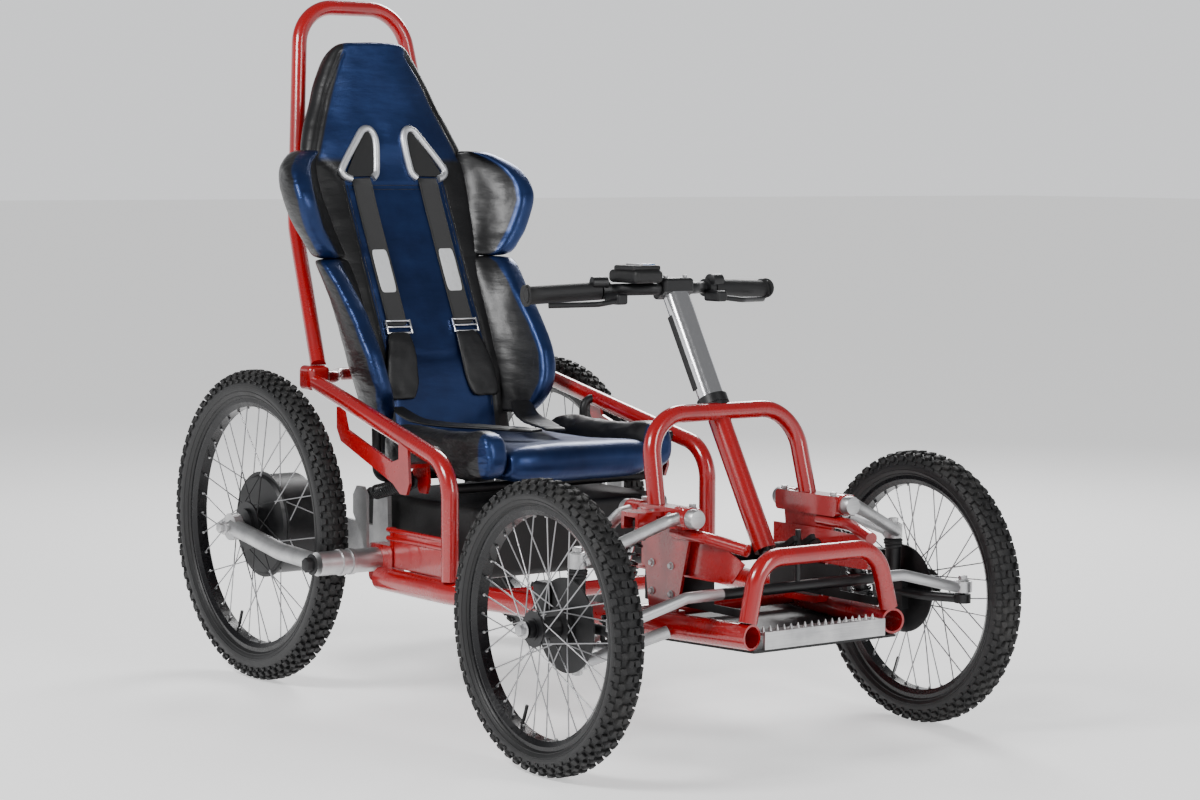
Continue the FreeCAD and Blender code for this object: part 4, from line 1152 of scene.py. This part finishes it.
def make_pivot_sleeves():
    """Red pivot tubes of the upper wishbones, with pale caps."""
    sleeves = []
    caps = []
    for y_start, y_end in ((-0.655, -0.618), (-0.520, -0.482)):
        sleeve = turning([(0.0185, 0), (0.0195, 0.001), (0.0195, y_end - y_start - 0.001),
                          (0.0185, y_end - y_start)], 36)
        sleeves.append(turned(sleeve, Matrix.Translation((-0.176, y_start, 0.430))
                              @ facing((0, 1, 0))))
    cap = turning([(0.0175, 0), (0.0175, 0.014), (0.0155, 0.0175), (0.008, 0.019)], 36)
    caps.append(turned(cap, Matrix.Translation((-0.176, -0.655, 0.430)) @ facing((0, -1, 0))))
    cap = copied(cap, Matrix.Rotation(math.pi, 4, "Z"))
    caps.append(turned(cap, Matrix.Translation((-0.352, -1.137, 0))))
    sleeves += mirror_twins(sleeves)
    caps += mirror_twins(caps)
    finished(joined("pivot_sleeves", sleeves), "chassis", RED)
    finished(joined("pivot_caps", caps), "chassis", SILVER)


def make_boots():
    """Rubber boots and lock nuts on the ball joints of the wishbones and the tie rod."""
    boots = []
    for height, way in ((0.349, -1), (0.207, 1)):
        boot = turning([(0.0150, 0), (0.0185, 0.003), (0.0165, 0.006), (0.0180, 0.009),
                        (0.0150, 0.012), (0.0160, 0.015), (0.0145, 0.018)], 36)
        place = Matrix.Translation((-KINGPIN_X, FRONT_AXLE_Y, height))
        boots.append(turned(boot, place @ facing((0, 0, way))))
    for side, mine in (("left", mirror_twins(boots)), ("right", boots)):
        finished(joined("boots_" + side, mine), "knuckle_" + side, GRIP)
    caps = [((-KINGPIN_X, FRONT_AXLE_Y, 0.3758), (0, 0, 1), 0.017),
            ((-KINGPIN_X, FRONT_AXLE_Y, 0.177), (0, 0, -1), 0.017)]
    bolts_piece("ball_joint_nuts", caps, "chassis")
    low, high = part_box("tie_rod")
    for side, body in (("right", "tie_rod"), ("left", "tie_rod")):
        x = (low.x + 0.017) if side == "right" else (high.x - 0.017)
        nut = [((x, -0.729, 0.2852), (0, 0, 1), 0.015)]
        bolts_piece("tie_rod_nut_" + side, nut, body, twins=False)


def make_axle_nuts():
    """Nut and washer on the outer end of each axle."""
    for wheel in WHEELS:
        end, side_name = wheel.split("_")
        side = SIDES[side_name]
        low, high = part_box("tyre_" + wheel)
        centre = (low + high) / 2
        carrier = "knuckle_" + side_name if end == "front" else "rear_swingarms"
        body = "knuckle_" + side_name if end == "front" else "chassis"
        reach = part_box(carrier)
        x = reach[1].x if side > 0 else reach[0].x
        nut = hex_bolt(Vector((x, centre.y, centre.z)), (side, 0, 0), 0.019)
        finished(joined("axle_nut_" + wheel, [nut]), body, SILVER, 40)


# ---------------------------------------------------------------- cockpit

def end_of(node, side):
    """Middle of a node's outermost stretch on one side."""
    spots = [vertex.co for vertex in nodes[node].data.vertices if vertex.co.x * side > 0]
    edge = max(spot.x * side for spot in spots)
    outer = [spot for spot in spots if spot.x * side > edge - 0.006]
    return sum(outer, Vector()) / len(outer)


def make_cockpit():
    """End discs and rings of the grips, pod face and window, clamp bolts, reservoirs."""
    discs = []
    for side in (-1, 1):
        place = end_of("grips", side)
        way = Vector((side, 0.32, -0.02)).normalized()
        for offset, radius in ((0.0, 0.0168), (0.006, 0.0125)):
            clear()
            bpy.ops.mesh.primitive_torus_add(major_segments=40, minor_segments=10,
                                             major_radius=radius, minor_radius=0.0018)
            ring = settled()
            spot = place + way * (0.0025 if offset else 0.0)
            discs.append(turned(ring, Matrix.Translation(spot) @ facing(way)))
        cap = turning([(0.012, 0), (0.012, 0.002), (0.006, 0.0028)], 32)
        discs.append(turned(cap, Matrix.Translation(place + way * 0.001) @ facing(way)))
    finished(joined("grip_ends", discs), "steering", GRIP)
    low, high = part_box("control_pod")
    middle = (low + high) / 2
    size = high - low
    hood = block((size.x * 0.96, size.y * 0.72, 0.010), 0.004, 3)
    finished(turned(hood, Matrix.Translation((middle.x, middle.y - 0.004, high.z + 0.003))),
             "steering", PLASTIC)
    hood.name = "pod_hood"
    window = block((size.x * 0.44, size.y * 0.42, 0.004), 0.0015, 3)
    turned(window, Matrix.Translation((middle.x + size.x * 0.20, middle.y - 0.006, high.z + 0.0085)))
    window.name = "pod_window"
    finished(window, "steering", GLASS)
    strip = block((size.x * 0.10, size.y * 0.5, 0.005), 0.0015, 3)
    turned(strip, Matrix.Translation((middle.x - size.x * 0.12, middle.y - 0.006, high.z + 0.0085)))
    strip.name = "pod_strip"
    finished(strip, "steering", SILVER)
    bar_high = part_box("handlebar")[1]
    stem_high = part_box("stem")[1]
    top = [((x, stem_high.y - 0.012, bar_high.z - 0.0005), (0, 0, 1), 0.008)
           for x in (-0.022, 0.022)]
    bolts_piece("clamp_bolts", top, "steering", twins=False)
    tanks = []
    lever_low, lever_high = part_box("brake_levers")
    for side in (-1, 1):
        root = Vector((side * 0.118, (lever_low.y + lever_high.y) / 2 + 0.01, lever_high.z - 0.003))
        tank = turning([(0.010, 0), (0.012, 0.001), (0.012, 0.030), (0.010, 0.031)], 28)
        turned(tank, Matrix.Translation(root) @ facing((side, 0.25, 0)))
        tanks.append(tank)
    finished(joined("brake_reservoirs", tanks), "steering", BLACK)


def make_stem_trim():
    """Slot cover on the bright stem and the seal ring at its foot."""
    low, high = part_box("stem")
    start = Vector((0, (low.y * 0.5 + high.y * 0.5), (low.z + high.z) / 2))
    lean = Vector((0, 0.5130, 0.8584)).normalized()
    strip = block((0.003, 0.012, 0.150), 0.001)
    lean_turn = Matrix.Rotation(-math.atan2(lean.y, lean.z), 4, "X")
    turned(strip, Matrix.Translation(start + Vector((-0.0252, 0, -0.012))) @ lean_turn)
    strip.name = "stem_slot_cover"
    finished(strip, "steering", PLASTIC)
    ring = turning([(0.024, 0), (0.0265, 0.0012), (0.0265, 0.012), (0.024, 0.0132)], 44)
    foot = Vector((0, -0.490, 0.612)) + lean * -0.0165
    turned(ring, Matrix.Translation(foot) @ facing(lean))
    ring.name = "post_seal"
    finished(ring, "chassis", BLACK)


make_springs()
make_bolts()
make_pivot_sleeves()
make_boots()
make_axle_nuts()
make_cockpit()
make_stem_trim()


# ---------------------------------------------------------------- stage, light and camera

CAMERA_PLACE = Vector((-3.2409, -4.5618, 1.0447))
CAMERA_AIM = Vector((0.58976, 0.80337, -0.08241))
CAMERA_UP = Vector((0.04512, 0.06911, 0.99659))
CAMERA_LENS = 87.3


def look(place, aim, up):
    """Matrix of a camera or lamp at a place, facing along aim."""
    right = aim.cross(up).normalized()
    turn = Matrix((right, right.cross(aim), -aim)).transposed()
    return Matrix.Translation(place) @ turn.to_4x4()


def make_camera():
    data = bpy.data.cameras.new("studio_camera")
    data.lens = CAMERA_LENS
    camera = bpy.data.objects.new("studio_camera", data)
    camera.matrix_world = look(CAMERA_PLACE, CAMERA_AIM, CAMERA_UP)
    bpy.context.scene.collection.objects.link(camera)
    bpy.context.scene.camera = camera


def make_floor():
    clear()
    bpy.ops.mesh.primitive_plane_add(size=120)
    floor = bpy.context.object
    floor.name = "studio_floor"
    net = Net("studio_floor")
    tone = net.noise(0.8, 2.0)
    net.set(Base_Color=net.mix(tone, (0.8, 0.8, 0.8), (0.84, 0.84, 0.84)), Roughness=0.85,
            Emission_Color=(1.0, 1.0, 1.0, 1.0), Emission_Strength=0.66)
    floor.data.materials.append(net.material)


def area_light(name, place, target, size, power, tint=(1, 1, 1)):
    data = bpy.data.lights.new(name, "AREA")
    data.shape = "RECTANGLE"
    data.size = size[0]
    data.size_y = size[1]
    data.energy = power
    data.color = tint
    lamp = bpy.data.objects.new(name, data)
    aim = (Vector(target) - Vector(place)).normalized()
    lamp.matrix_world = look(Vector(place), aim, Vector((0, 0, 1)))
    bpy.context.scene.collection.objects.link(lamp)


def make_light():
    world = bpy.data.worlds.new("studio_air")
    bpy.context.scene.world = world
    world.use_nodes = True
    tree = world.node_tree
    air = tree.nodes["Background"]
    sight = tree.nodes.new("ShaderNodeTexCoord")
    split = tree.nodes.new("ShaderNodeSeparateXYZ")
    fade = tree.nodes.new("ShaderNodeMapRange")
    fade.interpolation_type = "SMOOTHSTEP"
    for socket, value in zip(fade.inputs[1:], (0.12, 0.42, 1.05, 0.2)):
        socket.default_value = value
    tree.links.new(sight.outputs["Generated"], split.inputs[0])
    tree.links.new(split.outputs["Z"], fade.inputs[0])
    tree.links.new(fade.outputs[0], air.inputs["Strength"])
    air.inputs["Color"].default_value = (0.97, 0.98, 1.0, 1.0)
    area_light("key", (-3.4, -0.6, 3.2), (0, 0, 0.6), (1.6, 1.0), 150)
    area_light("front", (0.6, -4.6, 2.6), (0, -0.2, 0.5), (1.0, 2.4), 80)
    area_light("rim", (2.6, 2.4, 3.0), (0, 0.2, 0.8), (1.6, 1.6), 130)


make_camera()
make_floor()
make_light()
